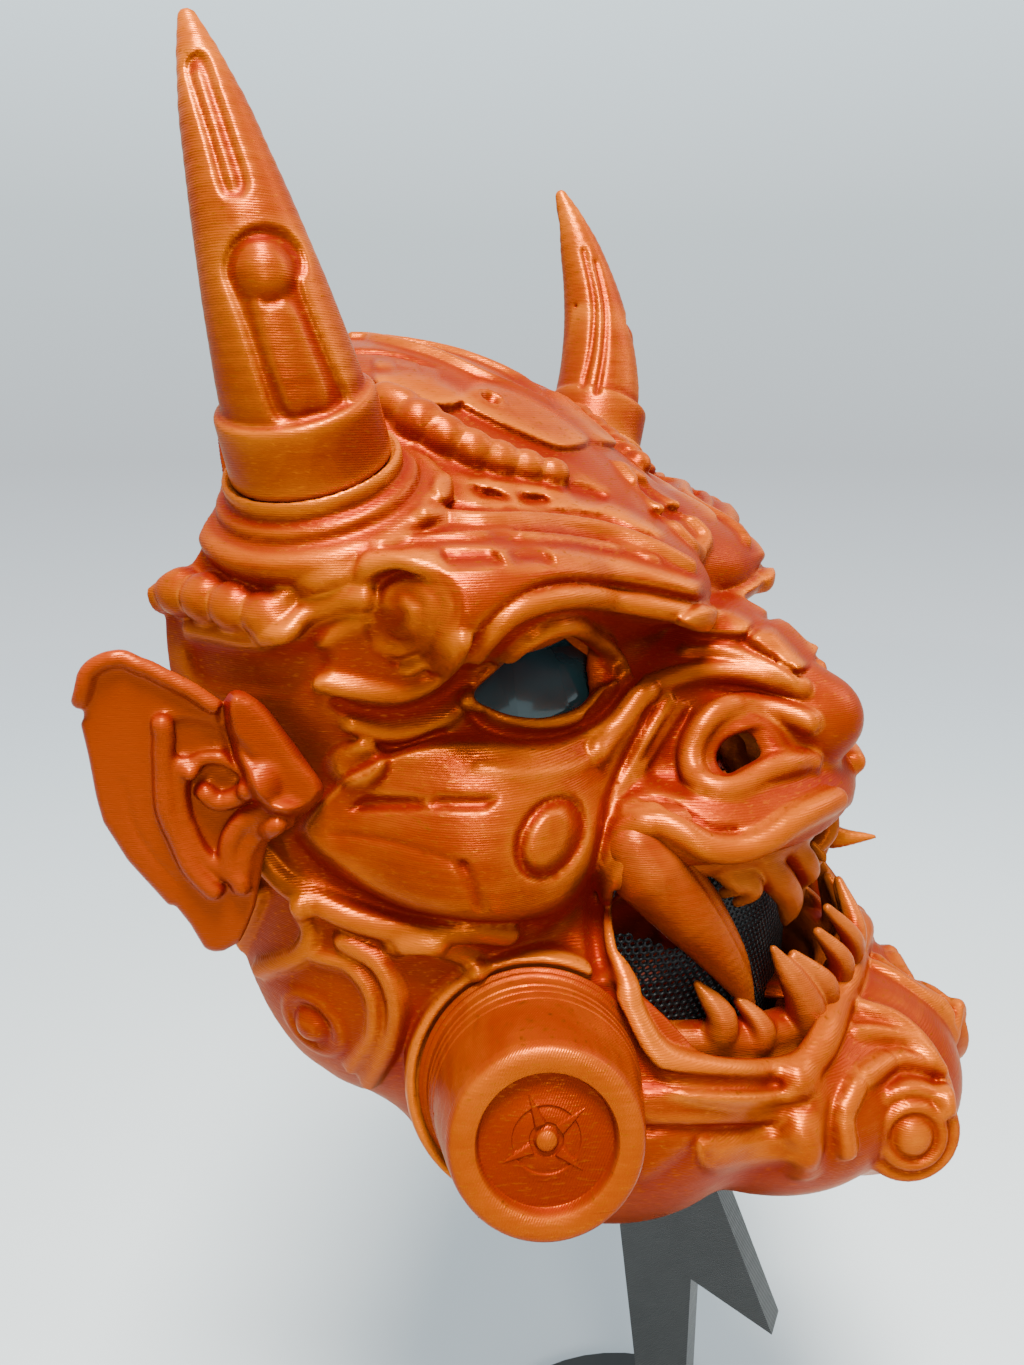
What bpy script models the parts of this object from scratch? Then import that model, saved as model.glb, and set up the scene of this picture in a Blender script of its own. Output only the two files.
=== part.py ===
"""Oni mask on a display stand.

A thin printed shell with a demon's face, two horns in ringed sockets, two flat ears,
two filter canisters, gums with teeth, upper tusks, smoked eye lenses and a mouth screen.
It hangs over a flat arrow-shaped spine that stands in a round foot.
"""

import math
from collections import namedtuple

import bmesh
import bpy
from mathutils import Matrix, Vector

mm = 0.001

# Driving dimensions of the mask, measured from the middle of the line between the horns
half_width = 88 * mm
depth = 165 * mm
height = 210 * mm
wall = 3.5 * mm
clearance = 0.4 * mm

# Horns
horn_spread = 145 * mm
horn_height = 74 * mm
horn_radius = 12.5 * mm
collar_radius = 15.5 * mm
collar_height = 9 * mm
socket_radius = 23 * mm
socket_height = 12 * mm

# Ears
ear_length = 74 * mm
ear_width = 37 * mm
ear_thickness = 5 * mm
ear_flare = 33
ear_lean = 8

# Canisters
canister_radius = 21 * mm
canister_flange = 2.2 * mm
canister_length = 30 * mm
cap_radius = 16.5 * mm
cap_recess_radius = 11.8 * mm
cap_recess_depth = 2.5 * mm

# Mouth and eyes
tooth_length = 9 * mm
tusk_length = 42 * mm
tusk_radius = 8 * mm
lens_thickness = 1.6 * mm
lens_margin = 5 * mm
screen_thickness = 1.2 * mm

# Stand
horn_line_height = 330 * mm
horn_line_back = 50 * mm
spine_thickness = 8.6 * mm
stem_width = 15 * mm
foot_radius = 58 * mm
foot_thickness = 6 * mm
foot_socket_height = 10 * mm
foot_socket_wall = 4 * mm

# Voxels that the fused shapes are made of, and the triangles that each may keep
shell_voxel = 1.8 * mm
skin_voxel = 2 * mm
cavity_voxel = 3 * mm
ear_voxel = 1.2 * mm
tooth_voxel = 0.9 * mm
rough_shell_faces = 7600
shell_faces = 3800
cavity_faces = 2600
horn_faces = 420
ear_faces = 340
tooth_strip_faces = 640

# Egg-shaped masses of the face. Places and half sizes are shares of the mask's half width,
# depth and height, and lean tips the front of a mass down, in degrees
Mass = namedtuple("Mass", "name across back up half_across half_deep half_tall lean")
masses = (
    Mass("skull", 0, 0.13, -0.13, 0.97, 0.41, 0.28, 0),
    Mass("forehead", 0, -0.17, -0.105, 0.60, 0.19, 0.10, 24),
    Mass("brow_inner", 0.25, -0.285, -0.125, 0.26, 0.115, 0.050, 18),
    Mass("brow_outer", 0.58, -0.16, -0.12, 0.38, 0.155, 0.070, 5),
    Mass("temple", 0.74, 0.04, -0.17, 0.27, 0.20, 0.15, 0),
    Mass("middle", 0, 0.03, -0.36, 0.94, 0.375, 0.285, 0),
    Mass("cheek", 0.58, -0.165, -0.37, 0.33, 0.145, 0.125, 0),
    Mass("snout", 0, -0.30, -0.31, 0.46, 0.17, 0.115, 0),
    Mass("nose_bridge", 0, -0.40, -0.235, 0.17, 0.15, 0.062, 28),
    Mass("nose_ball", 0, -0.505, -0.287, 0.15, 0.085, 0.055, 0),
    Mass("nose_wing", 0.17, -0.425, -0.315, 0.13, 0.090, 0.058, 20),
    Mass("muzzle", 0, -0.36, -0.375, 0.58, 0.225, 0.080, 0),
    Mass("jaw", 0.50, -0.24, -0.64, 0.33, 0.29, 0.18, 8),
    Mass("jaw_corner", 0.66, -0.02, -0.52, 0.27, 0.22, 0.17, 0),
    Mass("jaw_bridge", 0.26, -0.47, -0.69, 0.28, 0.22, 0.11, 0),
    Mass("chin", 0, -0.60, -0.70, 0.33, 0.175, 0.12, 0),
)

# Raised ridges: the radius is a share of the half width, and the points lie near the skin,
# as shares across, back and up
Ridge = namedtuple("Ridge", "name radius points")
ridges = (
    Ridge("brow_edge", 0.045, ((0.17, -0.38, -0.155), (0.42, -0.30, -0.15), (0.62, -0.23, -0.155),
                               (0.80, -0.14, -0.20))),
    Ridge("wrinkle", 0.030, ((0.12, -0.32, -0.075), (0.40, -0.21, -0.060), (0.66, -0.10, -0.050))),
    Ridge("eyelid_top", 0.032, ((0.30, -0.30, -0.235), (0.42, -0.295, -0.185), (0.60, -0.26, -0.178),
                                (0.80, -0.19, -0.220))),
    Ridge("eyelid_low", 0.032, ((0.32, -0.30, -0.250), (0.46, -0.305, -0.285), (0.64, -0.28, -0.278),
                                (0.80, -0.20, -0.225))),
    Ridge("nose_fold", 0.045, ((0.19, -0.42, -0.245), (0.34, -0.36, -0.275), (0.42, -0.34, -0.34),
                               (0.58, -0.34, -0.38), (0.66, -0.33, -0.50))),
    Ridge("cheek_rim", 0.040, ((0.95, 0.00, -0.36), (0.92, -0.12, -0.43), (0.80, -0.24, -0.46),
                               (0.70, -0.28, -0.40), (0.60, -0.30, -0.33))),
    Ridge("upper_lip", 0.050, ((0, -0.56, -0.37), (0.22, -0.52, -0.39), (0.44, -0.42, -0.375),
                               (0.60, -0.35, -0.42))),
    Ridge("lower_lip", 0.050, ((0, -0.60, -0.59), (0.24, -0.55, -0.62), (0.47, -0.46, -0.625),
                               (0.61, -0.385, -0.56), (0.63, -0.34, -0.44))),
    Ridge("jaw_pipe", 0.055, ((0.70, -0.36, -0.66), (0.50, -0.47, -0.69), (0.34, -0.57, -0.705))),
    Ridge("temple_pipe", 0.050, ((0.92, 0.16, -0.125), (0.93, 0.06, -0.13), (0.90, -0.03, -0.14))),
)

# Side view of the rim, where the shell ends behind and below, as shares of depth and height
rim_outline = ((0.24, 0.30), (0.235, 0.10), (0.20, -0.03), (0.20, -0.14), (0.145, -0.30),
               (0.12, -0.50), (0.05, -0.62), (-0.03, -0.67), (-0.09, -0.72), (-0.12, -0.83),
               (-0.22, -0.855), (-0.50, -0.81), (-0.90, -0.79))

# Front view of the openings, as shares of the half width and the height
eye_outline = ((0.76, -0.218), (0.66, -0.195), (0.55, -0.182), (0.44, -0.195), (0.345, -0.228),
               (0.42, -0.258), (0.54, -0.268), (0.66, -0.248))
mouth_outline = ((0, -0.40), (0.25, -0.415), (0.46, -0.41), (0.58, -0.44), (0.575, -0.53),
                 (0.52, -0.595), (0.40, -0.615), (0.20, -0.60), (0, -0.565))
nostril_outline = ((0.10, -0.325), (0.17, -0.305), (0.235, -0.315), (0.22, -0.345), (0.13, -0.345))

# How far back the openings are cut and the mouth screen stands, as shares of the depth
nostril_back = -0.33
mouth_back = -0.20
screen_back = -0.20
lens_back = -0.10

# Side view of the spine above the stem, as shares of the mask's depth and height
spine_front = ((-0.535, -1.11), (-0.43, -0.92), (-0.30, -0.76), (-0.12, -0.58), (-0.03, -0.40),
               (-0.01, -0.18), (-0.06, 0.02), (-0.06, 0.16))
spine_back = ((0.20, 0.16), (0.19, 0.03), (0.12, -0.09), (0.10, -0.30), (0.10, -0.60),
              (0.06, -0.86), (0.01, -1.10), (-0.12, -1.00), (-0.265, -1.01))
stem_back = -0.305
stem_back_top = -1.25
stem_front_top = -1.07

# Teeth as shares: across, and length of the tooth against the named tooth length
upper_tooth_row = ((0.06, 0.9), (0.17, 0.8), (0.27, 1.7), (0.36, 0.8))
lower_tooth_row = ((0.06, 0.8), (0.16, 1.0), (0.27, 2.1), (0.37, 0.9), (0.47, 1.2))


def spot(across, back, up):
    """World place of a point given as shares of the mask's sizes."""
    return Vector((across * half_width, horn_line_back + back * depth, horn_line_height + up * height))


def material(name, colour, roughness, metallic=0.0):
    paint = bpy.data.materials.new(name)
    paint.use_nodes = True
    shader = paint.node_tree.nodes["Principled BSDF"]
    shader.inputs["Base Color"].default_value = (*colour, 1)
    shader.inputs["Roughness"].default_value = roughness
    shader.inputs["Metallic"].default_value = metallic
    return paint


def modify(piece, kind, **settings):
    """Add a modifier, apply it and return the piece."""
    modifier = piece.modifiers.new(kind.title(), kind)
    for name, value in settings.items():
        setattr(modifier, name, value)
    bpy.ops.object.select_all(action="DESELECT")
    bpy.context.view_layer.objects.active = piece
    piece.select_set(True)
    bpy.ops.object.modifier_apply(modifier=modifier.name)
    return piece


def combine(piece, other, operation):
    """Boolean with the solver that also takes the grown copies, which cross themselves."""
    return modify(piece, "BOOLEAN", operation=operation, object=other, solver="MANIFOLD")


def difference(piece, cutter):
    return combine(piece, cutter, "DIFFERENCE")


def intersect(piece, other):
    return combine(piece, other, "INTERSECT")


def union(piece, other):
    return combine(piece, other, "UNION")


def thin_out(piece, faces):
    """Take triangles away until about so many are left."""
    modify(piece, "TRIANGULATE")
    if len(piece.data.polygons) > faces:
        modify(piece, "DECIMATE", ratio=faces / len(piece.data.polygons))
    return piece


def duplicate(piece, name):
    double = piece.copy()
    double.data = piece.data.copy()
    double.name = name
    bpy.context.collection.objects.link(double)
    return double


def discard(*pieces):
    for piece in pieces:
        bpy.data.objects.remove(piece, do_unlink=True)


def join(pieces, name):
    bpy.ops.object.select_all(action="DESELECT")
    for piece in pieces:
        piece.select_set(True)
    bpy.context.view_layer.objects.active = pieces[0]
    if len(pieces) > 1:
        bpy.ops.object.join()
    joined = bpy.context.view_layer.objects.active
    bpy.ops.object.transform_apply(location=True, rotation=True, scale=True)
    joined.name = name
    return joined


def turn(piece, turning):
    """Bake a matrix into a piece's mesh."""
    piece.data.transform(turning)
    return piece


def facing(place, direction):
    """Matrix that takes +Z to a direction and the origin to a place."""
    return Matrix.Translation(place) @ Vector(direction).to_track_quat("Z", "Y").to_matrix().to_4x4()


def egg(centre, radii, lean=0.0, segments=32):
    bpy.ops.mesh.primitive_uv_sphere_add(segments=segments, ring_count=segments // 2)
    piece = bpy.context.object
    squash = Matrix.Diagonal((*radii, 1))
    return turn(piece, Matrix.Translation(centre) @ Matrix.Rotation(math.radians(lean), 4, "X") @ squash)


def drum(radius, length, place, direction, end_radius=None, segments=40):
    """A cylinder or cone that starts at a place and runs along a direction."""
    bpy.ops.mesh.primitive_cone_add(vertices=segments, radius1=radius,
                                    radius2=radius if end_radius is None else end_radius, depth=length)
    piece = bpy.context.object
    turn(piece, Matrix.Translation((0, 0, length / 2)))
    return turn(piece, facing(place, direction))


def as_mesh(piece, name):
    """Make a mesh of a curve object, with its caps welded."""
    bpy.context.view_layer.update()
    mesh = bpy.data.meshes.new_from_object(piece.evaluated_get(bpy.context.evaluated_depsgraph_get()))
    mesh.transform(piece.matrix_world)
    shape = bmesh.new()
    shape.from_mesh(mesh)
    bmesh.ops.remove_doubles(shape, verts=shape.verts, dist=0.01 * mm)
    bmesh.ops.recalc_face_normals(shape, faces=shape.faces)
    shape.to_mesh(mesh)
    shape.free()
    made = bpy.data.objects.new(name, mesh)
    bpy.context.collection.objects.link(made)
    discard(piece)
    return made


def tube(points, radii, name="tube", resolution=3):
    """A round rod through points, with a radius at each point."""
    curve = bpy.data.curves.new(name, "CURVE")
    curve.dimensions = "3D"
    curve.bevel_depth = 1
    curve.bevel_resolution = resolution
    curve.use_fill_caps = True
    curve.resolution_u = 4
    spline = curve.splines.new("BEZIER")
    spline.bezier_points.add(len(points) - 1)
    for knot, place, radius in zip(spline.bezier_points, points, radii):
        knot.co = place
        knot.radius = radius
        knot.handle_left_type = knot.handle_right_type = "AUTO"
    rod = bpy.data.objects.new(name, curve)
    bpy.context.collection.objects.link(rod)
    return as_mesh(rod, name)


def plate(outline, thickness, name, smooth=False):
    """A flat outline in the XY plane, extruded evenly to both sides along Z."""
    curve = bpy.data.curves.new(name, "CURVE")
    curve.dimensions = "2D"
    curve.fill_mode = "BOTH"
    curve.extrude = thickness / 2
    curve.resolution_u = 4
    if smooth:
        spline = curve.splines.new("BEZIER")
        spline.bezier_points.add(len(outline) - 1)
        for knot, (x, y) in zip(spline.bezier_points, outline):
            knot.co = (x, y, 0)
            knot.handle_left_type = knot.handle_right_type = "AUTO"
    else:
        spline = curve.splines.new("POLY")
        spline.points.add(len(outline) - 1)
        for knot, (x, y) in zip(spline.points, outline):
            knot.co = (x, y, 0, 1)
    spline.use_cyclic_u = True
    flat = bpy.data.objects.new(name, curve)
    bpy.context.collection.objects.link(flat)
    return as_mesh(flat, name)


def side_plate(outline, thickness, name):
    """A plate in the side view: the outline's pairs are (back, up) in metres."""
    stand_up = Matrix(((0, 0, 1, 0), (1, 0, 0, 0), (0, 1, 0, 0), (0, 0, 0, 1)))
    return turn(plate(outline, thickness, name), stand_up)


def front_plate(outline, front, back, name):
    """A smooth plate in the front view, from one place along Y to another."""
    flat = plate([(spot(x, 0, z).x, spot(x, 0, z).z) for x, z in outline], back - front, name, smooth=True)
    lay = Matrix(((1, 0, 0, 0), (0, 0, -1, (front + back) / 2), (0, 1, 0, 0), (0, 0, 0, 1)))
    return turn(flat, lay)


def both_sides(across):
    return (1, -1) if across else (1,)


def fuse(pieces, name, voxel, faces, rounds=2):
    """Fuse overlapping shapes into one body by voxels, smooth it and thin its faces out."""
    body = join(pieces, name)
    modify(body, "REMESH", mode="VOXEL", voxel_size=voxel)
    modify(body, "SMOOTH", factor=0.5, iterations=rounds)
    return thin_out(body, faces)


def grown(piece, amount, name="grown"):
    """A copy of a piece, thicker by an amount all round, to cut a neighbour clear of it."""
    double = duplicate(piece, name)
    return modify(double, "DISPLACE", strength=amount, mid_level=0)


def mirrored(piece, name):
    double = duplicate(piece, name)
    double.data.transform(Matrix.Scale(-1, 4, (1, 0, 0)))
    double.data.flip_normals()
    return double


def largest_part(piece):
    """Keep the biggest loose part of a piece that a cut has divided."""
    shape = bmesh.new()
    shape.from_mesh(piece.data)
    left = set(shape.verts)
    parts = []
    while left:
        part = {left.pop()}
        edge = list(part)
        while edge:
            near = {other for link in edge.pop().link_edges for other in link.verts} - part
            part |= near
            edge += near
        left -= part
        parts.append(part)
    biggest = max(parts, key=len)
    bmesh.ops.delete(shape, geom=[vertex for vertex in shape.verts if vertex not in biggest], context="VERTS")
    shape.to_mesh(piece.data)
    shape.free()
    return piece


def horn_path():
    """Places along the right horn's middle line, with the horn's radius at each."""
    base = Vector((-horn_spread / 2, horn_line_back, horn_line_height))
    bend = Vector((-0.20, -0.03, 0.44)) * horn_height
    tip = Vector((-0.12, 0.20, 1.0)) * horn_height
    shape = ((0, 1.0), (0.2, 1.0), (0.4, 0.86), (0.6, 0.69), (0.8, 0.47), (0.93, 0.28), (1, 0.12))
    steps = []
    for share, size in shape:
        place = base + 2 * share * (1 - share) * bend + share * share * tip
        steps.append((place, size * horn_radius))
    return steps


def horn_axis():
    steps = horn_path()
    return steps[0][0], (steps[1][0] - steps[0][0]).normalized()


def canister_axis():
    """Middle of the right canister's flange and the direction that the canister points."""
    return spot(-0.80, -0.285, -0.59), Vector((-0.84, -0.485, 0.24)).normalized()


def mass_eggs(inset=0.0):
    made = []
    for mass in masses:
        radii = (mass.half_across * half_width - inset, mass.half_deep * depth - inset,
                 mass.half_tall * height - inset)
        for side in both_sides(mass.across):
            made.append(egg(spot(side * mass.across, mass.back, mass.up), radii, mass.lean))
    return made


def smooth_line(points, steps):
    """Points along a smooth curve through the given ones, with a few steps between each two."""
    ends = [2 * points[0] - points[1]] + list(points) + [2 * points[-1] - points[-2]]
    line = []
    for before, start, stop, after in zip(ends, ends[1:], ends[2:], ends[3:]):
        for step in range(steps):
            share = step / steps
            line.append(0.5 * (2 * start + share * (stop - before)
                               + share ** 2 * (2 * before - 5 * start + 4 * stop - after)
                               + share ** 3 * (3 * start - 3 * stop + after - before)))
    return line + [points[-1]]


def ridge_tubes(skin):
    """The raised ridges, laid on the skin of the fused masses."""
    made = []
    for ridge in ridges:
        for side in (1, -1):
            points = [spot(side * across, back, up) for across, back, up in ridge.points]
            laid = [skin.closest_point_on_mesh(point)[1] for point in smooth_line(points, 4)]
            made.append(tube(laid, [ridge.radius * half_width] * len(laid), resolution=2))
    return made


def sockets():
    """Stepped rings under the horns and seats under the canisters, on the right side."""
    base, axis = horn_axis()
    steps = ((socket_height * 2.2, 1.0), (socket_height * 0.62, 0.88), (socket_height * 0.28, 0.76))
    made = []
    for drop, share in steps:
        made.append(drum(share * socket_radius, drop - clearance, base - axis * drop, axis))
    flange, out = canister_axis()
    seat = canister_length * 0.75
    made.append(drum(canister_radius + 2 * wall / 3, seat - clearance, flange - out * seat, out))
    return made


def cavity():
    """The hollow behind the face, as deep as the wall leaves it."""
    return fuse(mass_eggs(inset=wall), "cavity", cavity_voxel, cavity_faces)


def face_shell(hollow):
    right_sockets = sockets()
    left_sockets = [mirrored(piece, piece.name) for piece in right_sockets]
    skin = modify(join(mass_eggs(), "skin"), "REMESH", mode="VOXEL", voxel_size=skin_voxel)
    raised = ridge_tubes(skin) + right_sockets + left_sockets
    shell = fuse([skin] + raised, "face_shell", shell_voxel, rough_shell_faces)
    difference(shell, hollow)
    behind = [(horn_line_back + back * depth, horn_line_height + up * height) for back, up in rim_outline]
    far = 2 * depth
    behind += [(behind[-1][0], behind[-1][1] - far), (horn_line_back + far, behind[-1][1] - far),
               (horn_line_back + far, behind[0][1])]
    cutters = [side_plate(behind, 4 * half_width, "rim_cutter")]
    front = horn_line_back - depth
    for side in (1, -1):
        eye = [(side * x, z) for x, z in eye_outline]
        cutters.append(front_plate(eye, front, horn_line_back, "eye_cutter"))
        nostril = [(side * x, z) for x, z in nostril_outline]
        cutters.append(front_plate(nostril, front, spot(0, nostril_back, 0).y, "nostril_cutter"))
    mouth = list(mouth_outline) + [(-x, z) for x, z in reversed(mouth_outline[1:-1])]
    cutters.append(front_plate(mouth, front, spot(0, mouth_back, 0).y, "mouth_cutter"))
    for cutter in cutters:
        difference(shell, cutter)
    thin_out(largest_part(shell), shell_faces)
    base, axis = horn_axis()
    horn_room = drum(collar_radius + 2 * clearance, horn_height, base - clearance * axis, axis)
    flange, out = canister_axis()
    flange_radius = canister_radius + canister_flange + 2 * clearance
    flange_room = drum(flange_radius, 1.5 * canister_length, flange - clearance * out, out)
    for cutter in (horn_room, flange_room):
        difference(shell, cutter)
    discard(horn_room, flange_room, *cutters)
    modify(shell, "MIRROR", use_axis=(True, False, False), use_bisect_axis=(True, False, False),
           use_bisect_flip_axis=(True, False, False), merge_threshold=0.001 * mm,
           bisect_threshold=0.001 * mm)
    return shell


def horn():
    steps = horn_path()
    base, axis = horn_axis()
    places = [base + axis * collar_height / 3] + [place for place, radius in steps[1:]]
    body = tube(places, [radius for place, radius in steps], "horn", 4)
    collar = drum(collar_radius, collar_height, base, axis, end_radius=horn_radius * 1.05)
    union(collar, body)
    discard(body)
    return thin_out(collar, horn_faces)


def canister():
    flange, out = canister_axis()
    side = ((0, 0), (canister_radius + canister_flange, 0), (canister_radius + canister_flange, 2.6 * mm),
            (canister_radius, 4 * mm), (cap_radius + 1.2 * mm, canister_length - 2 * mm),
            (cap_radius, canister_length), (cap_recess_radius, canister_length),
            (cap_recess_radius, canister_length - cap_recess_depth), (0, canister_length - cap_recess_depth))
    mesh = bpy.data.meshes.new("canister")
    shape = bmesh.new()
    knots = [shape.verts.new((radius, 0, level)) for radius, level in reversed(side)]
    for one, other in zip(knots, knots[1:]):
        shape.edges.new((one, other))
    shape.to_mesh(mesh)
    shape.free()
    piece = bpy.data.objects.new("canister", mesh)
    bpy.context.collection.objects.link(piece)
    modify(piece, "SCREW", steps=32, render_steps=32, use_merge_vertices=True, merge_threshold=0.05 * mm)
    turn(piece, facing(flange, out))
    return piece


def ear(shell):
    """A flat pointed ear with a rolled rim and a shallow hollow, on the right side."""
    outline = ((0.0, 0.30), (0.10, 0.47), (0.55, 0.47), (0.86, 0.56), (1.0, 0.46), (0.98, 0.26),
               (0.90, 0.0), (0.74, -0.22), (0.46, -0.46), (0.22, -0.52), (0.06, -0.34), (-0.10, -0.06))
    flat = [(along * ear_width, rise * ear_length) for along, rise in outline]
    body = plate(flat, ear_thickness, "ear", smooth=True)
    rim = [Vector((x, y, -ear_thickness / 2)) for x, y in flat[2:10]]
    roll = tube(rim, [0.4 * ear_thickness] * len(rim), resolution=2)
    inset = [(0.42 * ear_width + 0.62 * (x - 0.42 * ear_width), 0.62 * y) for x, y in flat]
    dish = plate(inset, ear_thickness, "dish", smooth=True)
    turn(dish, Matrix.Translation((0, 0, -0.75 * ear_thickness)))
    tab = egg((0, 0, 0), (0.30 * ear_width, 0.34 * ear_length, ear_thickness * 0.8), segments=16)
    body = fuse([body, roll, tab], "ear", ear_voxel, ear_faces, rounds=1)
    difference(body, dish)
    discard(dish)
    outward = Vector((-math.sin(math.radians(ear_flare)), math.cos(math.radians(ear_flare)), 0))
    upward = Vector((0, -math.sin(math.radians(ear_lean)), math.cos(math.radians(ear_lean))))
    through = outward.cross(upward).normalized()
    hang = Matrix((outward, through.cross(outward), through)).transposed().to_4x4()
    turn(body, Matrix.Translation(spot(-0.97, -0.02, -0.335)) @ hang)
    difference(body, shell)
    return largest_part(body)


def arch(across, back_middle, back_side, up):
    """A place on the tooth arch at a share of the half width."""
    bend = (across / 0.5) ** 2
    return spot(across, back_middle + (back_side - back_middle) * bend, up)


def tooth_strip(row, up, back_middle, back_side, points_down, shell, name):
    """A gum with its teeth, fused and trimmed to the lips."""
    way = -1 if points_down else 1
    ends = 0.5
    count = 7
    gum_points = [arch(-ends + 2 * ends * step / (count - 1), back_middle, back_side, up)
                  for step in range(count)]
    pieces = [tube(gum_points, [0.45 * tooth_length] * count)]
    for across, share in row:
        length = share * tooth_length
        for side in (1, -1):
            root = arch(side * across, back_middle, back_side, up)
            tip = root + Vector((0, -0.10 * length, way * (length + 0.3 * tooth_length)))
            middle = (root + tip) / 2 + Vector((0, -0.12 * length, 0))
            width = 0.30 * tooth_length * (1 + 0.16 * share)
            pieces.append(tube([root, middle, tip], [width, 0.85 * width, 0.25 * width]))
    strip = fuse(pieces, name, tooth_voxel, tooth_strip_faces, rounds=1)
    return difference(strip, shell)


def tusk_rod(extra=0.0):
    """The right tusk before it is trimmed, thicker by an extra radius."""
    root = spot(-0.50, -0.375, -0.405)
    way = Vector((0.36, -0.44, -0.82)).normalized()
    sag = Vector((-0.3, -0.7, 0.5)).normalized() * 0.07 * tusk_length
    shape = ((0, 1.0, 0), (0.35, 0.88, 0.7), (0.7, 0.58, 0.8), (0.92, 0.28, 0.2), (1, 0.10, 0))
    places = [root + way * share * tusk_length + sag * swell for share, size, swell in shape]
    return tube(places, [size * tusk_radius + extra for share, size, swell in shape], "tusk", 2)


def tusk(shell):
    return largest_part(difference(tusk_rod(), shell))


def inner_skin(hollow, thickness, name):
    """A thin skin that lies just inside the hollow's wall."""
    outer = grown(hollow, -clearance, name)
    inner = grown(hollow, -clearance - thickness)
    difference(outer, inner)
    discard(inner)
    return outer


def eye_lens(hollow, shell):
    lens = inner_skin(hollow, lens_thickness, "eye_lens")
    middle_across = sum(x for x, z in eye_outline) / len(eye_outline)
    middle_up = sum(z for x, z in eye_outline) / len(eye_outline)
    outline = []
    for x, z in eye_outline:
        reach = Vector(((x - middle_across) * half_width, (z - middle_up) * height))
        far = reach * (1 + lens_margin / reach.length)
        outline.append((-middle_across - far.x / half_width, middle_up + far.y / height))
    window = front_plate(outline, horn_line_back - depth, spot(0, lens_back, 0).y, "window")
    intersect(lens, window)
    discard(window)
    difference(lens, shell)
    return largest_part(lens)


def mouth_screen(hollow, shell):
    """A thin curved sheet behind the teeth, from cheek to cheek."""
    radius = 1.1 * half_width
    centre = spot(0, screen_back, 0).y + radius
    screen = drum(radius, 0.30 * height, (0, centre, spot(0, 0, -0.67).z), (0, 0, 1), segments=36)
    inner = drum(radius - screen_thickness, 0.4 * height, (0, centre, spot(0, 0, -0.72).z), (0, 0, 1), segments=36)
    difference(screen, inner)
    room = grown(hollow, -clearance)
    front = plate([(-half_width, 0), (half_width, 0), (half_width, depth), (-half_width, depth)], height, "front")
    turn(front, Matrix.Translation((0, spot(0, -0.15, 0).y - depth, spot(0, 0, -0.5).z)))
    intersect(screen, room)
    intersect(screen, front)
    difference(screen, shell)
    discard(inner, room, front)
    return largest_part(screen)


def stand_spine(shell):
    """The flat arrow-shaped plate that carries the mask at its crown."""
    def place(pair):
        return horn_line_back + pair[0] * depth, horn_line_height + pair[1] * height
    stem_rear = horn_line_back + stem_back * depth
    stem_front = stem_rear - stem_width
    bottom = foot_thickness / 2
    outline = [place(pair) for pair in spine_front + spine_back]
    outline += [(stem_rear, horn_line_height + stem_back_top * height), (stem_rear, bottom), (stem_front, bottom)]
    outline += [(stem_front, horn_line_height + stem_front_top * height)]
    spine = side_plate(outline, spine_thickness, "stand_spine")
    difference(spine, shell)
    return largest_part(spine)


def stand_foot():
    stem_middle = horn_line_back + stem_back * depth - stem_width / 2
    foot = drum(foot_radius, foot_thickness, (0, 0, 0), (0, 0, 1), segments=48)
    modify(foot, "BEVEL", width=1.2 * mm, segments=1, limit_method="ANGLE")
    wide = spine_thickness + 2 * (clearance + foot_socket_wall)
    long = stem_width + 2 * (clearance + foot_socket_wall)
    tall = foot_thickness + foot_socket_height
    box = ((-wide / 2, -long / 2), (wide / 2, -long / 2), (wide / 2, long / 2), (-wide / 2, long / 2))
    collar = plate(box, tall - foot_thickness / 2, "collar")
    turn(collar, Matrix.Translation((0, stem_middle, (tall + foot_thickness / 2) / 2)))
    union(foot, collar)
    inner_wide = spine_thickness + 2 * clearance
    inner_long = stem_width + 2 * clearance
    slot_outline = ((-inner_wide / 2, -inner_long / 2), (inner_wide / 2, -inner_long / 2),
                    (inner_wide / 2, inner_long / 2), (-inner_wide / 2, inner_long / 2))
    slot_bottom = foot_thickness / 2 - clearance
    slot = plate(slot_outline, 2 * (tall - slot_bottom), "slot")
    turn(slot, Matrix.Translation((0, stem_middle, tall)))
    difference(foot, slot)
    discard(collar, slot)
    return foot


def finish(piece, name, paint, collection):
    piece.name = name
    piece.data.name = name
    piece.data.materials.clear()
    piece.data.materials.append(paint)
    for face in piece.data.polygons:
        face.material_index = 0
    piece.data.shade_smooth()
    piece.data.set_sharp_from_angle(angle=math.radians(35))
    for holder in list(piece.users_collection):
        holder.objects.unlink(piece)
    collection.objects.link(piece)


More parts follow.
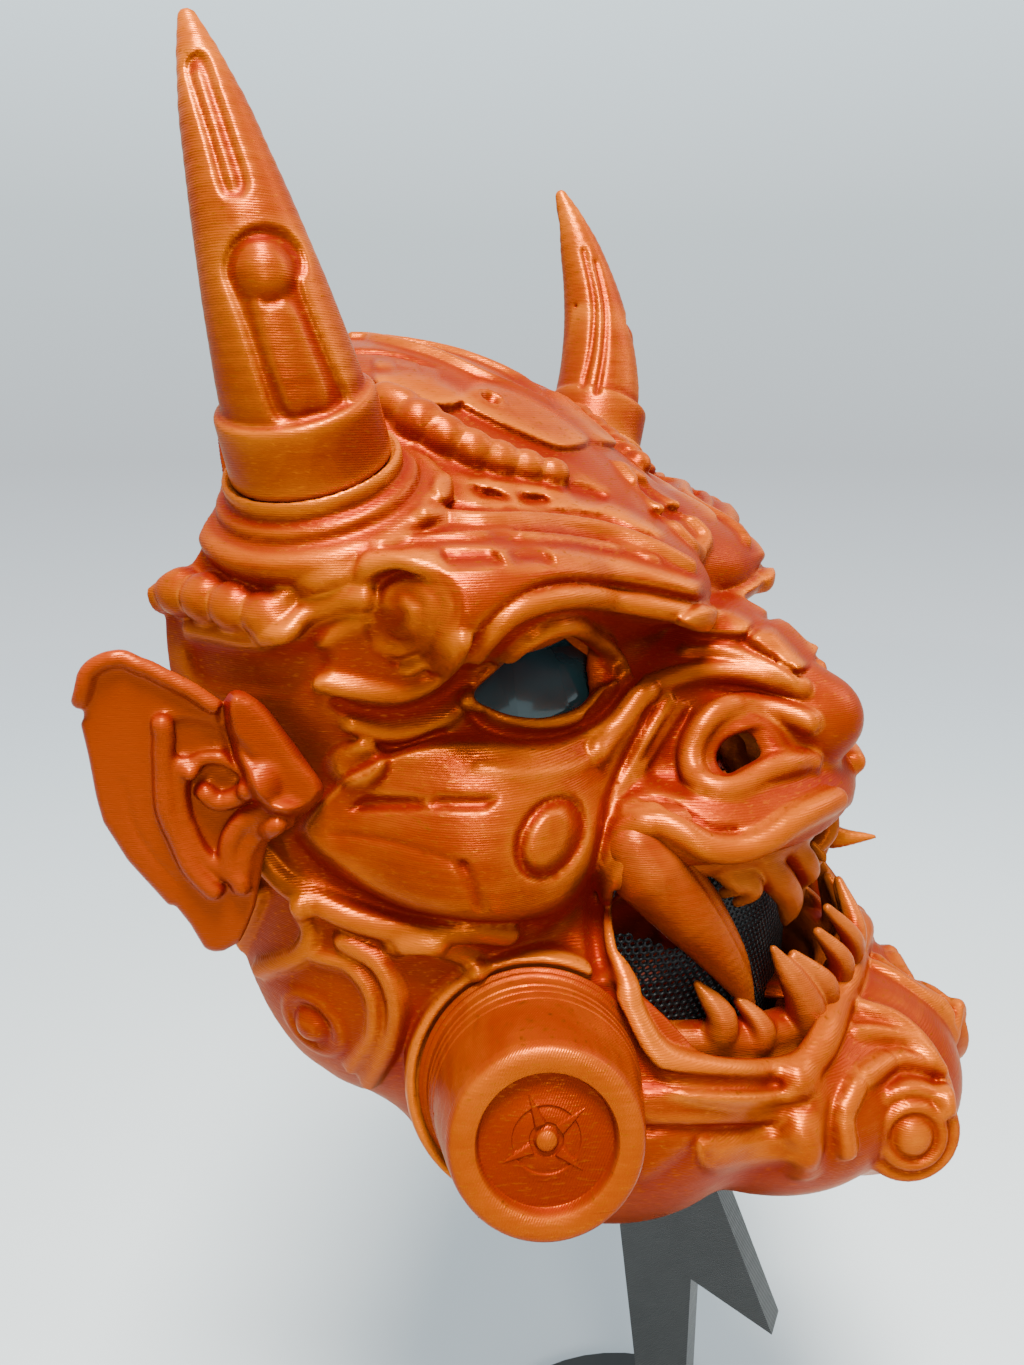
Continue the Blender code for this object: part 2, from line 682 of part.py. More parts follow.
def build():
    for old in list(bpy.data.objects):
        bpy.data.objects.remove(old, do_unlink=True)
    collection = bpy.data.collections.new("oni_mask")
    bpy.context.scene.collection.children.link(collection)
    orange = material("orange_plastic", (0.80, 0.16, 0.03), 0.35)
    smoked = material("smoked_plastic", (0.01, 0.03, 0.04), 0.15)
    black = material("black_screen", (0.01, 0.01, 0.01), 0.45, 0.6)
    grey = material("grey_plastic", (0.06, 0.07, 0.08), 0.5)

    hollow = cavity()
    shell = face_shell(hollow)
    clear_of_shell = grown(shell, clearance)
    pairs = []
    pairs.append(("horn", horn(), orange))
    pairs.append(("canister", canister(), orange))
    pairs.append(("ear", ear(clear_of_shell), orange))
    pairs.append(("upper_tusk", tusk(clear_of_shell), orange))
    pairs.append(("eye_lens", eye_lens(hollow, clear_of_shell), smoked))
    near_tusk = tusk_rod(extra=clearance)
    far_tusk = mirrored(near_tusk, "far_tusk")

    upper = tooth_strip(upper_tooth_row, -0.405, -0.50, -0.34, True, clear_of_shell, "upper_teeth")
    lower = tooth_strip(lower_tooth_row, -0.60, -0.545, -0.385, False, clear_of_shell, "lower_teeth")
    for strip in (upper, lower):
        for cutter in (near_tusk, far_tusk):
            difference(strip, cutter)
        largest_part(strip)
    screen = mouth_screen(hollow, clear_of_shell)
    for cutter in (near_tusk, far_tusk, grown(upper, clearance), grown(lower, clearance)):
        difference(screen, cutter)
        discard(cutter)
    largest_part(screen)
    spine = stand_spine(clear_of_shell)
    spine_room = grown(spine, clearance)
    difference(screen, spine_room)
    discard(spine_room, clear_of_shell, hollow)
    largest_part(screen)

    finish(shell, "face_shell", orange, collection)
    for name, piece, paint in pairs:
        other = mirrored(piece, name + "_left")
        finish(piece, name + "_right", paint, collection)
        finish(other, name + "_left", paint, collection)
    finish(upper, "upper_teeth", orange, collection)
    finish(lower, "lower_teeth", orange, collection)
    finish(screen, "mouth_screen", black, collection)
    finish(spine, "stand_spine", grey, collection)
    finish(stand_foot(), "stand_foot", grey, collection)


build()
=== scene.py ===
import math
import time

import bmesh
import bpy
import numpy as np
import openvdb
from mathutils import Matrix, Vector


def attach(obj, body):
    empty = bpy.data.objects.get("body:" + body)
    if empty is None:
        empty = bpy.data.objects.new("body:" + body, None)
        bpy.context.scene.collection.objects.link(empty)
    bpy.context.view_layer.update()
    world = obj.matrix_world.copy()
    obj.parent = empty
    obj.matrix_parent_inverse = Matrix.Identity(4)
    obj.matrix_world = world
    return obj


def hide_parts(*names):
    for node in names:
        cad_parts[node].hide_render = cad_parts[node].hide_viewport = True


startTime = time.time()


def report(stage):
    print(f"[{time.time() - startTime:6.1f} s] {stage}")


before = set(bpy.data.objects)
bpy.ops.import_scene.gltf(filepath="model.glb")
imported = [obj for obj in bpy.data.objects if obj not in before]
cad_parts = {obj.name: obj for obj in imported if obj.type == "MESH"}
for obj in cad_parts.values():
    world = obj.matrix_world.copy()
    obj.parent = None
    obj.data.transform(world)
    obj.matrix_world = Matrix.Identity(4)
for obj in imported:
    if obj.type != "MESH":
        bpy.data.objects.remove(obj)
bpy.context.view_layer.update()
bpy.ops.object.select_all(action="DESELECT")
mm = 0.001
hornLine = np.array([0.0, 50.0, 330.0])        # middle of the line between the horns, in mm from the foot
report("frame loaded")

# Camera, where the photograph was taken from. Points are in mm from the horn line
cameraSettings = {
    "azimuth": 64.0,
    "pitch": 14.5,
    "focal": 1026.0,               # in pixels of the 1024 x 1365 image
    "middle": (512.0, 682.5),
    "imageHeight": 1365,
    "sensor": 36.0,                # in mm
    "shift": (-7.1, 59.7, 260.6),
}


def cameraRows():
    azimuth, pitch = (math.radians(cameraSettings[key]) for key in ("azimuth", "pitch"))
    right = np.array([math.cos(azimuth), -math.sin(azimuth), 0])
    level = np.array([math.sin(azimuth), math.cos(azimuth), 0])
    rise = np.array([0, 0, 1.0])
    up = math.sin(pitch) * level + math.cos(pitch) * rise
    ahead = math.cos(pitch) * level - math.sin(pitch) * rise
    return np.array([right, up, ahead])


rows = cameraRows()
shift = np.array(cameraSettings["shift"])
eyePlace = -rows.T @ shift
focal = cameraSettings["focal"]
middleX, middleY = cameraSettings["middle"]


# Pixel place and depth of points in mm from the horn line
def toPixels(x, y, z):
    right, up, ahead = (rows[i, 0] * x + rows[i, 1] * y + rows[i, 2] * z + shift[i] for i in range(3))
    return middleX + focal * right / ahead, middleY - focal * up / ahead, ahead


# The ways from the camera through pixels, one unit deep
def sightThrough(pixels):
    pixels = np.asarray(pixels, float)
    across, down = pixels[..., 0], pixels[..., 1]
    return np.stack([(across - middleX) / focal, (middleY - down) / focal, np.ones(across.shape)],
                    axis=-1) @ rows


def cellOf(settings):
    return settings["cell"] * 1


# Points on a smooth line through the given ones
def smoothPath(points, steps=6, closed=False):
    knots = np.asarray(points, float)
    if closed:
        knots = np.vstack([knots[-1:], knots, knots[:2]])
    else:
        knots = np.vstack([2 * knots[:1] - knots[1:2], knots, 2 * knots[-1:] - knots[-2:-1]])
    share = (np.arange(steps) / steps)[:, None]
    line = []
    for before, start, stop, after in zip(knots, knots[1:], knots[2:], knots[3:]):
        line.append(0.5 * (2 * start + share * (stop - before)
                           + share ** 2 * (2 * before - 5 * start + 4 * stop - after)
                           + share ** 3 * (3 * start - 3 * stop + after - before)))
    return np.vstack(line + ([] if closed else [knots[-2:-1]]))


def smoothStep(values):
    values = np.clip(values, 0, 1)
    return values * values * (3 - 2 * values)


sameSide = 45                      # a plate acts where the depth is this near to its middle's, in mm


# A block of clay: signed distances in mm on a grid, below zero inside
class Clay:
    def __init__(self, low, high, cell, folded=False):
        self.cell = cell
        self.low = np.array(low, float)
        self.count = np.ceil((np.array(high, float) - self.low) / cell).astype(int) + 1
        self.axes = [(self.low[i] + cell * np.arange(self.count[i])).astype(np.float32) for i in range(3)]
        self.folded = folded
        if folded:
            self.axes[0] = -np.abs(self.axes[0])
        self.field = np.full(self.count, 30, np.float32)
        self.far = False
        self.side = None           # a measure of places: plates then only act where it is above 0

    def spread(self):
        x, y, z = self.axes
        return x[:, None, None], y[None, :, None], z[None, None, :]

    # The part of the grid in a box, as slices and its coordinates
    def part(self, low, high):
        first = np.clip(np.floor((np.asarray(low) - self.low) / self.cell), 0, self.count - 1).astype(int)
        last = np.clip(np.ceil((np.asarray(high) - self.low) / self.cell) + 1, first + 1,
                       self.count).astype(int)
        if self.folded and np.asarray(high)[0] > -4:
            last[0] = self.count[0]
        cut = tuple(slice(a, b) for a, b in zip(first, last))
        x, y, z = (axis[piece] for axis, piece in zip(self.axes, cut))
        return cut, x[:, None, None], y[None, :, None], z[None, None, :]

    # Add a shape, or carve it away, with a rounded joint
    def blend(self, cut, other, soft, carve=False):
        old = self.field[cut]
        if carve:
            old, other = -old, other
        if soft <= 0:
            new = np.minimum(old, other)
        else:
            share = np.clip(0.5 + 0.5 * (old - other) / soft, 0, 1)
            new = old + (other - old) * share - soft * share * (1 - share)
        self.field[cut] = -new if carve else new

    # An egg-shaped mass. Lean tips its front down and turn swings it round upright, in degrees
    def egg(self, centre, radii, lean=0.0, turn=0.0, soft=6.0, carve=False):
        reach = max(radii) + 12
        cut, x, y, z = self.part(np.array(centre) - reach, np.array(centre) + reach)
        x, y, z = x - centre[0], y - centre[1], z - centre[2]
        if turn:
            c, s = math.cos(math.radians(turn)), math.sin(math.radians(turn))
            x, y = c * x + s * y, c * y - s * x
        if lean:
            c, s = math.cos(math.radians(lean)), math.sin(math.radians(lean))
            y, z = c * y + s * z, c * z - s * y
        near = np.sqrt((x / radii[0]) ** 2 + (y / radii[1]) ** 2 + (z / radii[2]) ** 2)
        steep = np.sqrt((x / radii[0] ** 2) ** 2 + (y / radii[1] ** 2) ** 2 + (z / radii[2] ** 2) ** 2)
        self.blend(cut, (near * (near - 1) / np.maximum(steep, 1e-6)).astype(np.float32), soft, carve)

    # A round rod through points, with a radius at each or one for all
    def rod(self, points, radii, soft=1.5, carve=False):
        points = np.asarray(points, float)
        radii = np.interp(np.linspace(0, 1, len(points)), np.linspace(0, 1, np.size(radii)),
                          np.atleast_1d(radii))
        reach = radii.max() + soft + 2 * self.cell
        cut, x, y, z = self.part(points.min(0) - reach, points.max(0) + reach)
        near = np.full(self.field[cut].shape, 20, np.float32)
        for start, stop, one, two in zip(points, points[1:], radii, radii[1:]):
            pad = max(one, two) + soft + 2 * self.cell
            small, sx, sy, sz = self.part(np.minimum(start, stop) - pad, np.maximum(start, stop) + pad)
            inner = tuple(slice(max(s.start - c.start, 0), s.stop - c.start) for s, c in zip(small, cut))
            way = stop - start
            size = float(way @ way) + 1e-9
            sx, sy, sz = sx - start[0], sy - start[1], sz - start[2]
            along = np.clip((sx * way[0] + sy * way[1] + sz * way[2]) / size, 0, 1)
            gap = np.sqrt((sx - along * way[0]) ** 2 + (sy - along * way[1]) ** 2
                          + (sz - along * way[2]) ** 2)
            view = near[inner]
            np.minimum(view, (gap - one - (two - one) * along).astype(np.float32), out=view)
        self.blend(cut, near, soft, carve)

    # The field at points, between the cells
    def sample(self, points):
        places = (np.asarray(points, float) - self.low) / self.cell
        places = np.clip(places, 0, self.count - 1.001)
        base = places.astype(int)
        part = places - base
        total = 0
        for i in (0, 1):
            for j in (0, 1):
                for k in (0, 1):
                    weight = (np.abs(1 - i - part[..., 0]) * np.abs(1 - j - part[..., 1])
                              * np.abs(1 - k - part[..., 2]))
                    total = total + weight * self.field[base[..., 0] + i, base[..., 1] + j,
                                                        base[..., 2] + k]
        return total

    # The outward direction at points
    def slope(self, points, step=None):
        step = step or self.cell
        points = np.asarray(points, float)
        way = np.stack([self.sample(points + offset) - self.sample(points - offset)
                        for offset in step * np.eye(3)], axis=-1)
        return way / np.maximum(np.linalg.norm(way, axis=-1, keepdims=True), 1e-9)

    # Where the lines of sight through pixels meet the clay. With far set, the mirrored side is seen
    def cast(self, pixels):
        aims = sightThrough(pixels)
        aims /= np.linalg.norm(aims, axis=1, keepdims=True)
        start = np.tile(eyePlace, (len(pixels), 1))
        if self.far:
            aims[:, 0] *= -1
            start[:, 0] *= -1
        high = self.low + self.cell * (self.count - 1)
        with np.errstate(divide="ignore"):
            enter = np.minimum((self.low - start) / aims, (high - start) / aims).max(1)
            leave = np.maximum((self.low - start) / aims, (high - start) / aims).min(1)
        reach = np.maximum(enter, 0) + 0.01
        found = np.full(len(pixels), np.nan)
        nearest = np.full(len(pixels), 1e9)
        nearestReach = reach.copy()
        for _ in range(900):
            level = self.sample(start + aims * reach[:, None])
            better = (level < nearest) & np.isnan(found) & (reach < leave)
            nearest[better], nearestReach[better] = level[better], reach[better]
            hit = np.isnan(found) & (level <= 0) & (reach < leave)
            found[hit] = reach[hit] + level[hit]
            if not np.any(np.isnan(found) & (reach < leave)):
                break
            reach = reach + np.clip(0.6 * level, 0.25, 3)
        missed = np.isnan(found)
        places = start + aims * np.where(missed, nearestReach, found)[:, None]
        for _ in range(8 if missed.any() else 0):
            places[missed] -= self.sample(places[missed])[:, None] * self.slope(places[missed])
        return np.clip(places, self.low, high)

    # A smooth line on the surface, from pixels (two numbers) or from places (three)
    def lay(self, points, steps=6):
        line = smoothPath(points, steps)
        if line.shape[1] == 2:
            return self.cast(line)
        for _ in range(5):
            line = line - self.sample(line)[:, None] * self.slope(line)
        return line

    # A raised line that stands out by its radius plus its lift
    def ridge(self, points, radius=1.6, lift=0.0, soft=1.4, steps=6):
        line = self.lay(points, steps)
        self.rod(line + lift * self.slope(line), radius, soft)

    # A raised tube of rounded segments, each shorter than its share by the gap in radii
    def beads(self, points, radii, parts, lift=0.0, gap=1.6, soft=0.4):
        line = self.lay(points, 10)
        line = line + lift * self.slope(line)
        walked = np.concatenate([[0], np.cumsum(np.linalg.norm(np.diff(line, axis=0), axis=1))])
        for part in range(parts):
            radius = radii[0] + (radii[-1] - radii[0]) * (part + 0.5) / parts
            start, stop = walked[-1] * part / parts, walked[-1] * (part + 1) / parts
            trim = min(gap * radius / 2, 0.44 * (stop - start))
            spots = np.linspace(start + trim, stop - trim, 4)
            self.rod(np.stack([np.interp(spots, walked, line[:, i]) for i in range(3)], 1), radius, soft)

    # A cut line of a depth
    def groove(self, points, radius=0.9, depth=0.9, soft=0.6, steps=6):
        line = self.lay(points, steps)
        top = np.max(np.atleast_1d(radius))
        self.rod(line + (top - depth) * self.slope(line), radius, soft, carve=True)

    # Raise, or lower with a height below zero, what lies inside an outline of pixels
    def plate(self, points, height, edge=0.8, depthRoom=9.0, smooth=True):
        outline = smoothPath(points, 5, closed=True) if smooth else np.asarray(points, float)
        laid = self.cast(outline)
        pad = abs(height) + edge + 3
        cut, x, y, z = self.part(laid.min(0) - pad, laid.max(0) + pad)
        near = np.abs(self.field[cut]) < depthRoom
        where = np.nonzero(near)
        x, y, z = x[where[0], 0, 0], y[0, where[1], 0], z[0, 0, where[2]]
        across, down, depth = toPixels(-x if self.far else x, y, z)
        middle = toPixels(*(laid * ([-1, 1, 1] if self.far else [1, 1, 1])).mean(0))[2]
        inside = np.zeros(len(across), bool)
        gap = np.full(len(across), 1e9)
        for start, stop in zip(outline, np.roll(outline, -1, axis=0)):
            way = stop - start
            size = float(way @ way) + 1e-9
            along = np.clip(((across - start[0]) * way[0] + (down - start[1]) * way[1]) / size, 0, 1)
            gap = np.minimum(gap, np.hypot(across - start[0] - along * way[0],
                                           down - start[1] - along * way[1]))
            crosses = (start[1] > down) != (stop[1] > down)
            turn = start[0] + (down - start[1]) * way[0] / (way[1] if way[1] else 1e-9)
            inside ^= crosses & (across < turn)
        reach = np.where(inside, gap, -gap) * depth / focal
        change = height * smoothStep(reach / edge + 0.5) * (np.abs(depth - middle) < sameSide)
        if self.side is not None:
            change *= smoothStep(self.side(x, y, z))
        self.field[cut][where] -= change.astype(np.float32)

    # Rings about a point: pairs of a radius and the height there
    def disc(self, place, profile):
        spot = self.lay([place, place], 1)[0]
        axis = self.slope(spot[None], 3)[0]
        radii, heights = zip(*profile)
        reach = radii[-1] + 5
        cut, x, y, z = self.part(spot - reach, spot + reach)
        x, y, z = x - spot[0], y - spot[1], z - spot[2]
        along = x * axis[0] + y * axis[1] + z * axis[2]
        out = np.sqrt(np.maximum(x * x + y * y + z * z - along * along, 0))
        view = self.field[cut]
        view -= (np.interp(out, radii, heights) * (np.abs(view) < 9)).astype(np.float32)

    # A turned shape about an axis: the outline's pairs are radius and height along the axis
    def rings(self, place, axis, profile, soft=0.8):
        axis = np.array(axis) / np.linalg.norm(axis)
        reach = max(max(abs(a), abs(b)) for a, b in profile) + 4
        cut, x, y, z = self.part(np.array(place) - reach, np.array(place) + reach)
        x, y, z = x - place[0], y - place[1], z - place[2]
        along = x * axis[0] + y * axis[1] + z * axis[2]
        out = np.sqrt(np.maximum(x * x + y * y + z * z - along * along, 0))
        self.blend(cut, flatDistance(profile, out, along), soft)

    def soften(self):
        for axis in range(3):
            view = np.moveaxis(self.field, axis, 0)
            view[1:-1] = 0.25 * view[:-2] + 0.5 * view[1:-1] + 0.25 * view[2:]

    # Make a mesh of the clay, thin it out and return its object, in mm from the horn line
    def mesh(self, name, faces):
        grid = openvdb.FloatGrid(6.0)
        grid.copyFromArray(np.clip(self.field, -6, 6))
        points, quads = grid.convertToQuads(0.0)
        made = quadMesh(name, points * self.cell + self.low, quads)
        made.validate()
        piece = putIn(name, made)
        if 2 * len(quads) > faces:
            modify(piece, "DECIMATE", ratio=faces / (2 * len(quads)))
        return piece


# Signed distance to a closed outline of straight sides, below zero inside
def flatDistance(outline, x, y):
    outline = np.asarray(outline, float)
    gap = np.full(np.broadcast(x, y).shape, 1e9)
    inside = np.zeros(gap.shape, bool)
    for start, stop in zip(outline, np.roll(outline, -1, axis=0)):
        way = stop - start
        along = np.clip(((x - start[0]) * way[0] + (y - start[1]) * way[1]) / (way @ way + 1e-9), 0, 1)
        gap = np.minimum(gap, np.hypot(x - start[0] - along * way[0], y - start[1] - along * way[1]))
        crosses = (start[1] > y) != (stop[1] > y)
        inside ^= crosses & (x < start[0] + (y - start[1]) * way[0] / (way[1] if way[1] else 1e-9))
    return np.where(inside, -gap, gap).astype(np.float32)


def quadMesh(name, points, quads):
    made = bpy.data.meshes.new(name)
    made.vertices.add(len(points))
    made.vertices.foreach_set("co", points.astype(np.float32).ravel())
    made.loops.add(quads.size)
    made.polygons.add(len(quads))
    made.loops.foreach_set("vertex_index", quads.astype(np.int32).ravel())
    made.polygons.foreach_set("loop_start", np.arange(0, quads.size, 4, dtype=np.int32))
    made.update(calc_edges=True)
    return made


def putIn(name, data):
    piece = bpy.data.objects.new(name, data)
    bpy.context.collection.objects.link(piece)
    return piece


# Add a modifier with settings and apply it
def modify(piece, kind, **settings):
    bpy.ops.object.select_all(action="DESELECT")
    bpy.context.view_layer.objects.active = piece
    piece.select_set(True)
    modifier = piece.modifiers.new(kind.title(), kind)
    for key, value in settings.items():
        setattr(modifier, key, value)
    bpy.ops.object.modifier_apply(modifier=modifier.name)
    return piece


def mirrorHalf(piece):
    modify(piece, "MIRROR", use_axis=(True, False, False), use_bisect_axis=(True, False, False),
           use_bisect_flip_axis=(True, False, False), merge_threshold=0.001, bisect_threshold=0.001)


# How far each place stands out, which the plastic's colours read to paint shade in hollows and highlights
# on ridges
def keepRelief(mesh, values):
    layer = mesh.attributes.new("relief", "FLOAT", "POINT")
    layer.data.foreach_set("value", values.astype(np.float32))


# Face: places and half sizes of the masses in mm from the horn line, the wearer's right half
faceClay = {
    "cell": 0.66,
    "quickCell": 1.1,
    "low": (-97, -133, -180),
    "high": (3.2, 42, 37),
    "wall": 3.5,
    "thinnest": 2.3,
    "faces": 99000,
    "masses": [                    # centre, half sizes, lean, turn, softness of the joint
        ((0, 30, -38), (84.5, 80, 64), 14, 0, 0),                    # skull
        ((0, -28, -24), (50, 31.4, 20), 24, 0, 8),                   # forehead
        ((-22, -47, -26.3), (22.9, 19, 10.5), 18, 0, 6),             # inner brow
        ((-51, -26.4, -25.2), (33.4, 25.6, 14.7), 5, 0, 6),          # outer brow
        ((-65, 6.6, -35.7), (23.8, 33, 31.5), 0, 0, 8),              # temple
        ((0, 5, -75.6), (82.7, 61.9, 59.9), 0, 0, 8),                # middle of the face
        ((-51, -27.2, -77.7), (29, 23.9, 26.3), 0, 0, 6),            # cheek
        ((0, -49.5, -65.1), (36, 28, 24.2), 0, 0, 7),                # snout
        ((0, -66, -49.4), (15, 24.8, 13), 28, 0, 4),                 # bridge of the nose
        ((0, -83.3, -60.3), (13.2, 14, 11.6), 0, 0, 4),              # ball of the nose
        ((-15, -70.1, -66.2), (11.4, 14.9, 12.2), 20, 0, 4),         # wing of the nose
        ((0, -59.4, -78.8), (48, 37.1, 16.8), 0, 0, 5),              # muzzle
        ((-44, -39.6, -134.4), (29, 47.9, 37.8), 8, 0, 8),           # jaw
        ((-58, -3.3, -109.2), (23.8, 36.3, 35.7), 0, 0, 8),          # corner of the jaw
        ((-22.9, -77.6, -144.9), (24.6, 36.3, 23.1), 0, 0, 6),       # between jaw and chin
        ((0, -98.5, -148), (28, 28.4, 24), 0, 0, 6),                 # chin
    ],
    "rim": ((40, 70), (39, 21), (30, 3), (23, -5), (18, -14), (21, -20), (28, -25), (28, -44), (25, -50),
            (24, -63), (22, -95), (24, -106), (23, -113), (19, -117), (9, -132), (3, -135), (-2, -144),
            (-6, -139), (-13, -147), (-15, -151), (-20, -160), (-24, -168), (-33, -171), (-48, -172),
            (-82, -171), (-148, -169), (-148, -300), (200, -300), (200, 70)),
}
hornBase = np.array([-72.5, 0, 0])
hornWay = np.array([-14.9, -2.3, 32.6]) / np.linalg.norm([-14.9, -2.3, 32.6])
flangePlace = np.array([-70.4, -47.0, -123.9])
flangeWay = np.array([-0.84, -0.485, 0.24]) / np.linalg.norm([-0.84, -0.485, 0.24])
socketProfile = ((0, -45), (0, -1.9), (15.9, -1.9), (16.2, -1.6), (16.3, -0.4), (16.9, -0.1), (17.6, -0.6),
                 (17.7, -2.4), (17.0, -3.9), (17.8, -4.6),
                 (19.4, -4.8), (20.2, -5.6), (20.0, -7.2), (20.8, -7.7), (23.4, -8.1), (24.9, -9.3),
                 (25.0, -11.2), (24.2, -13.2), (22, -15.6), (18, -45))
seatProfile = ((0, -24), (0, -0.5), (23.9, -0.5), (23.9, 1.4), (24.6, 2.1), (25.6, 1.6), (26.2, -0.6),
               (26.4, -5), (24, -24))


def shapeForehead(clay):
    clay.ridge([(352, 336), (400, 346), (440, 358), (480, 376), (520, 394), (560, 414), (600, 446),
                (640, 492), (675, 530), (700, 556)], 1.7, 0.3)
    clay.groove([(356, 351), (380, 352), (405, 357), (430, 366)], 2.4, 1.4)
    bricks = (((374, 359), (394, 360), (396, 370), (374, 369)),
              ((398, 361), (418, 364), (420, 374), (399, 371)),
              ((422, 366), (438, 370), (441, 380), (424, 376)))
    for brick in bricks:
        clay.plate(brick, 1.5, 0.6, smooth=False)
    clay.plate([(375, 374), (410, 373), (440, 381), (461, 394), (455, 407), (430, 406), (400, 396),
                (378, 387)], 2.4, 1.0)
    clay.plate([(470, 386), (490, 383), (525, 394), (560, 414), (590, 440), (564, 449), (530, 438),
                (490, 420), (461, 403)], 1.9, 1.2)
    clay.disc((491, 398), ((0, -1.8), (1.6, -1.8), (2.3, 0.2), (3.2, 0.7), (4.0, 0)))
    clay.beads([(384, 402), (404, 413)], (4.4, 5.0), 4, 0.2, 0.5)
    clay.beads([(408, 418), (438, 437), (472, 453), (508, 465), (540, 473), (564, 480)], (5.6, 3.4), 6, 0.6)
    clay.plate([(566, 485), (590, 487), (607, 498), (600, 504), (578, 500)], -1.3, 0.9)
    clay.plate([(440, 474), (500, 480), (560, 490), (620, 507), (665, 535), (640, 530), (600, 515),
                (550, 509), (500, 506), (440, 500)], 1.3, 0.8)
    slots = (((468, 487), (498, 493), (512, 501), (484, 499)),
             ((517, 494), (545, 498), (552, 505), (523, 503)))
    for slot in slots:
        clay.plate(slot, -2.0, 0.4, smooth=False)
    clay.ridge([(424, 517), (480, 522), (540, 522), (600, 530), (650, 547), (688, 566)], 1.9, 0.2)
    clay.groove([(484, 533), (510, 533), (540, 531), (600, 541), (640, 553)], 1.2, 1.3)
    clay.ridge([(380, 546), (440, 539), (500, 537), (560, 540), (610, 548), (655, 561)], 1.3, 0)
    pits = (((640, 480), (655, 492), (662, 502), (648, 500), (636, 488)),
            ((650, 510), (672, 512), (676, 520), (662, 522)))
    for pit in pits:
        clay.plate(pit, -1.1, 0.8)


def shapeBrow(clay):
    clay.plate([(500, 650), (520, 630), (550, 616), (590, 611), (640, 614), (680, 624), (672, 645),
                (652, 664), (634, 678), (616, 668), (600, 648), (570, 628), (540, 632), (510, 655)], -1.6,
               5, 14)
    clay.plate([(364, 556), (400, 550), (450, 546), (510, 547), (560, 549), (610, 556), (655, 568),
                (692, 580), (702, 584), (698, 597), (675, 592), (640, 585), (600, 580), (560, 579),
                (525, 590), (495, 612), (470, 640), (448, 662), (430, 674), (440, 650), (457, 615),
                (454, 590), (432, 571), (402, 565), (384, 571), (366, 576)], 2.4, 0.9)
    slots = (((438, 550), (492, 549), (503, 563), (446, 567)),
             ((505, 549), (545, 549), (554, 563), (515, 563)))
    for slot in slots:
        clay.plate(slot, -2.0, 0.4, smooth=False)
    clay.ridge([(470, 657), (488, 634), (512, 613), (545, 601), (580, 597), (620, 601), (660, 608),
                (692, 613)], 2.2, 0.6)
    clay.ridge([(474, 694), (492, 668), (520, 642), (548, 628), (575, 626), (598, 640), (614, 660),
                (622, 676)], 1.9, 0.8)
    clay.ridge([(474, 698), (495, 713), (520, 723), (550, 724), (578, 715), (596, 699), (608, 684)], 2.0,
               0.8)
    clay.groove([(462, 706), (490, 729), (530, 737), (570, 732), (598, 710), (612, 690)], 1.3, 1.4)
    swirl = [(402 + 37 * math.cos(a), 618 + 47 * math.sin(a)) for a in np.linspace(0, 2 * math.pi, 14)[:-1]]
    clay.plate(swirl, -1.1, 1.4)
    clay.ridge([(368, 566), (398, 561), (430, 570), (450, 592), (452, 622), (436, 652), (410, 668)], 1.5,
               0.2)
    clay.ridge([(378, 642), (394, 650), (414, 644), (430, 628), (434, 606), (424, 590), (408, 583),
                (392, 588), (386, 604)], [0.8, 1.3, 1.6, 1.6, 1.5, 1.3, 1.1, 0.9, 0.7], 0)
    clay.ridge([(404, 600), (414, 610), (412, 626), (398, 634)], [0.6, 1.1, 1.1, 0.6], 0)
    clay.ridge([(462, 640), (440, 672), (402, 692), (352, 688), (320, 681)], 1.9, 0.4)
    clay.groove([(470, 668), (440, 699), (400, 714), (362, 713), (338, 704)], 1.5, 1.6)
    clay.ridge([(468, 700), (440, 722), (410, 733), (382, 733), (352, 724)], 1.7, 0.2)
    clay.groove([(440, 735), (400, 748), (372, 745)], 1.2, 1.2)
    dome = [(357 + 28 * math.cos(a), 764 + 22 * math.sin(a)) for a in np.linspace(0, 2 * math.pi, 12)[:-1]]
    clay.plate(dome, 2.2, 2.5)


def shapeTemple(clay):
    clay.plate([(190, 645), (230, 648), (270, 650), (312, 640), (332, 660), (302, 688), (250, 690),
                (200, 680)], -1.3, 3)
    clay.beads([(152, 590), (180, 591), (206, 597), (236, 606), (262, 613), (288, 622)], (5.2, 4.6), 5, 0.8)
    clay.ridge([(284, 630), (312, 610), (340, 600), (364, 598)], 2.4, 0.2)
    clay.ridge([(285, 598), (315, 582), (345, 574), (364, 574)], 2.2, 0)
    clay.ridge([(190, 628), (220, 634), (255, 640), (285, 634), (300, 620)], 1.6, 0)
    clay.ridge([(322, 642), (345, 628), (364, 620)], 1.2, 0)


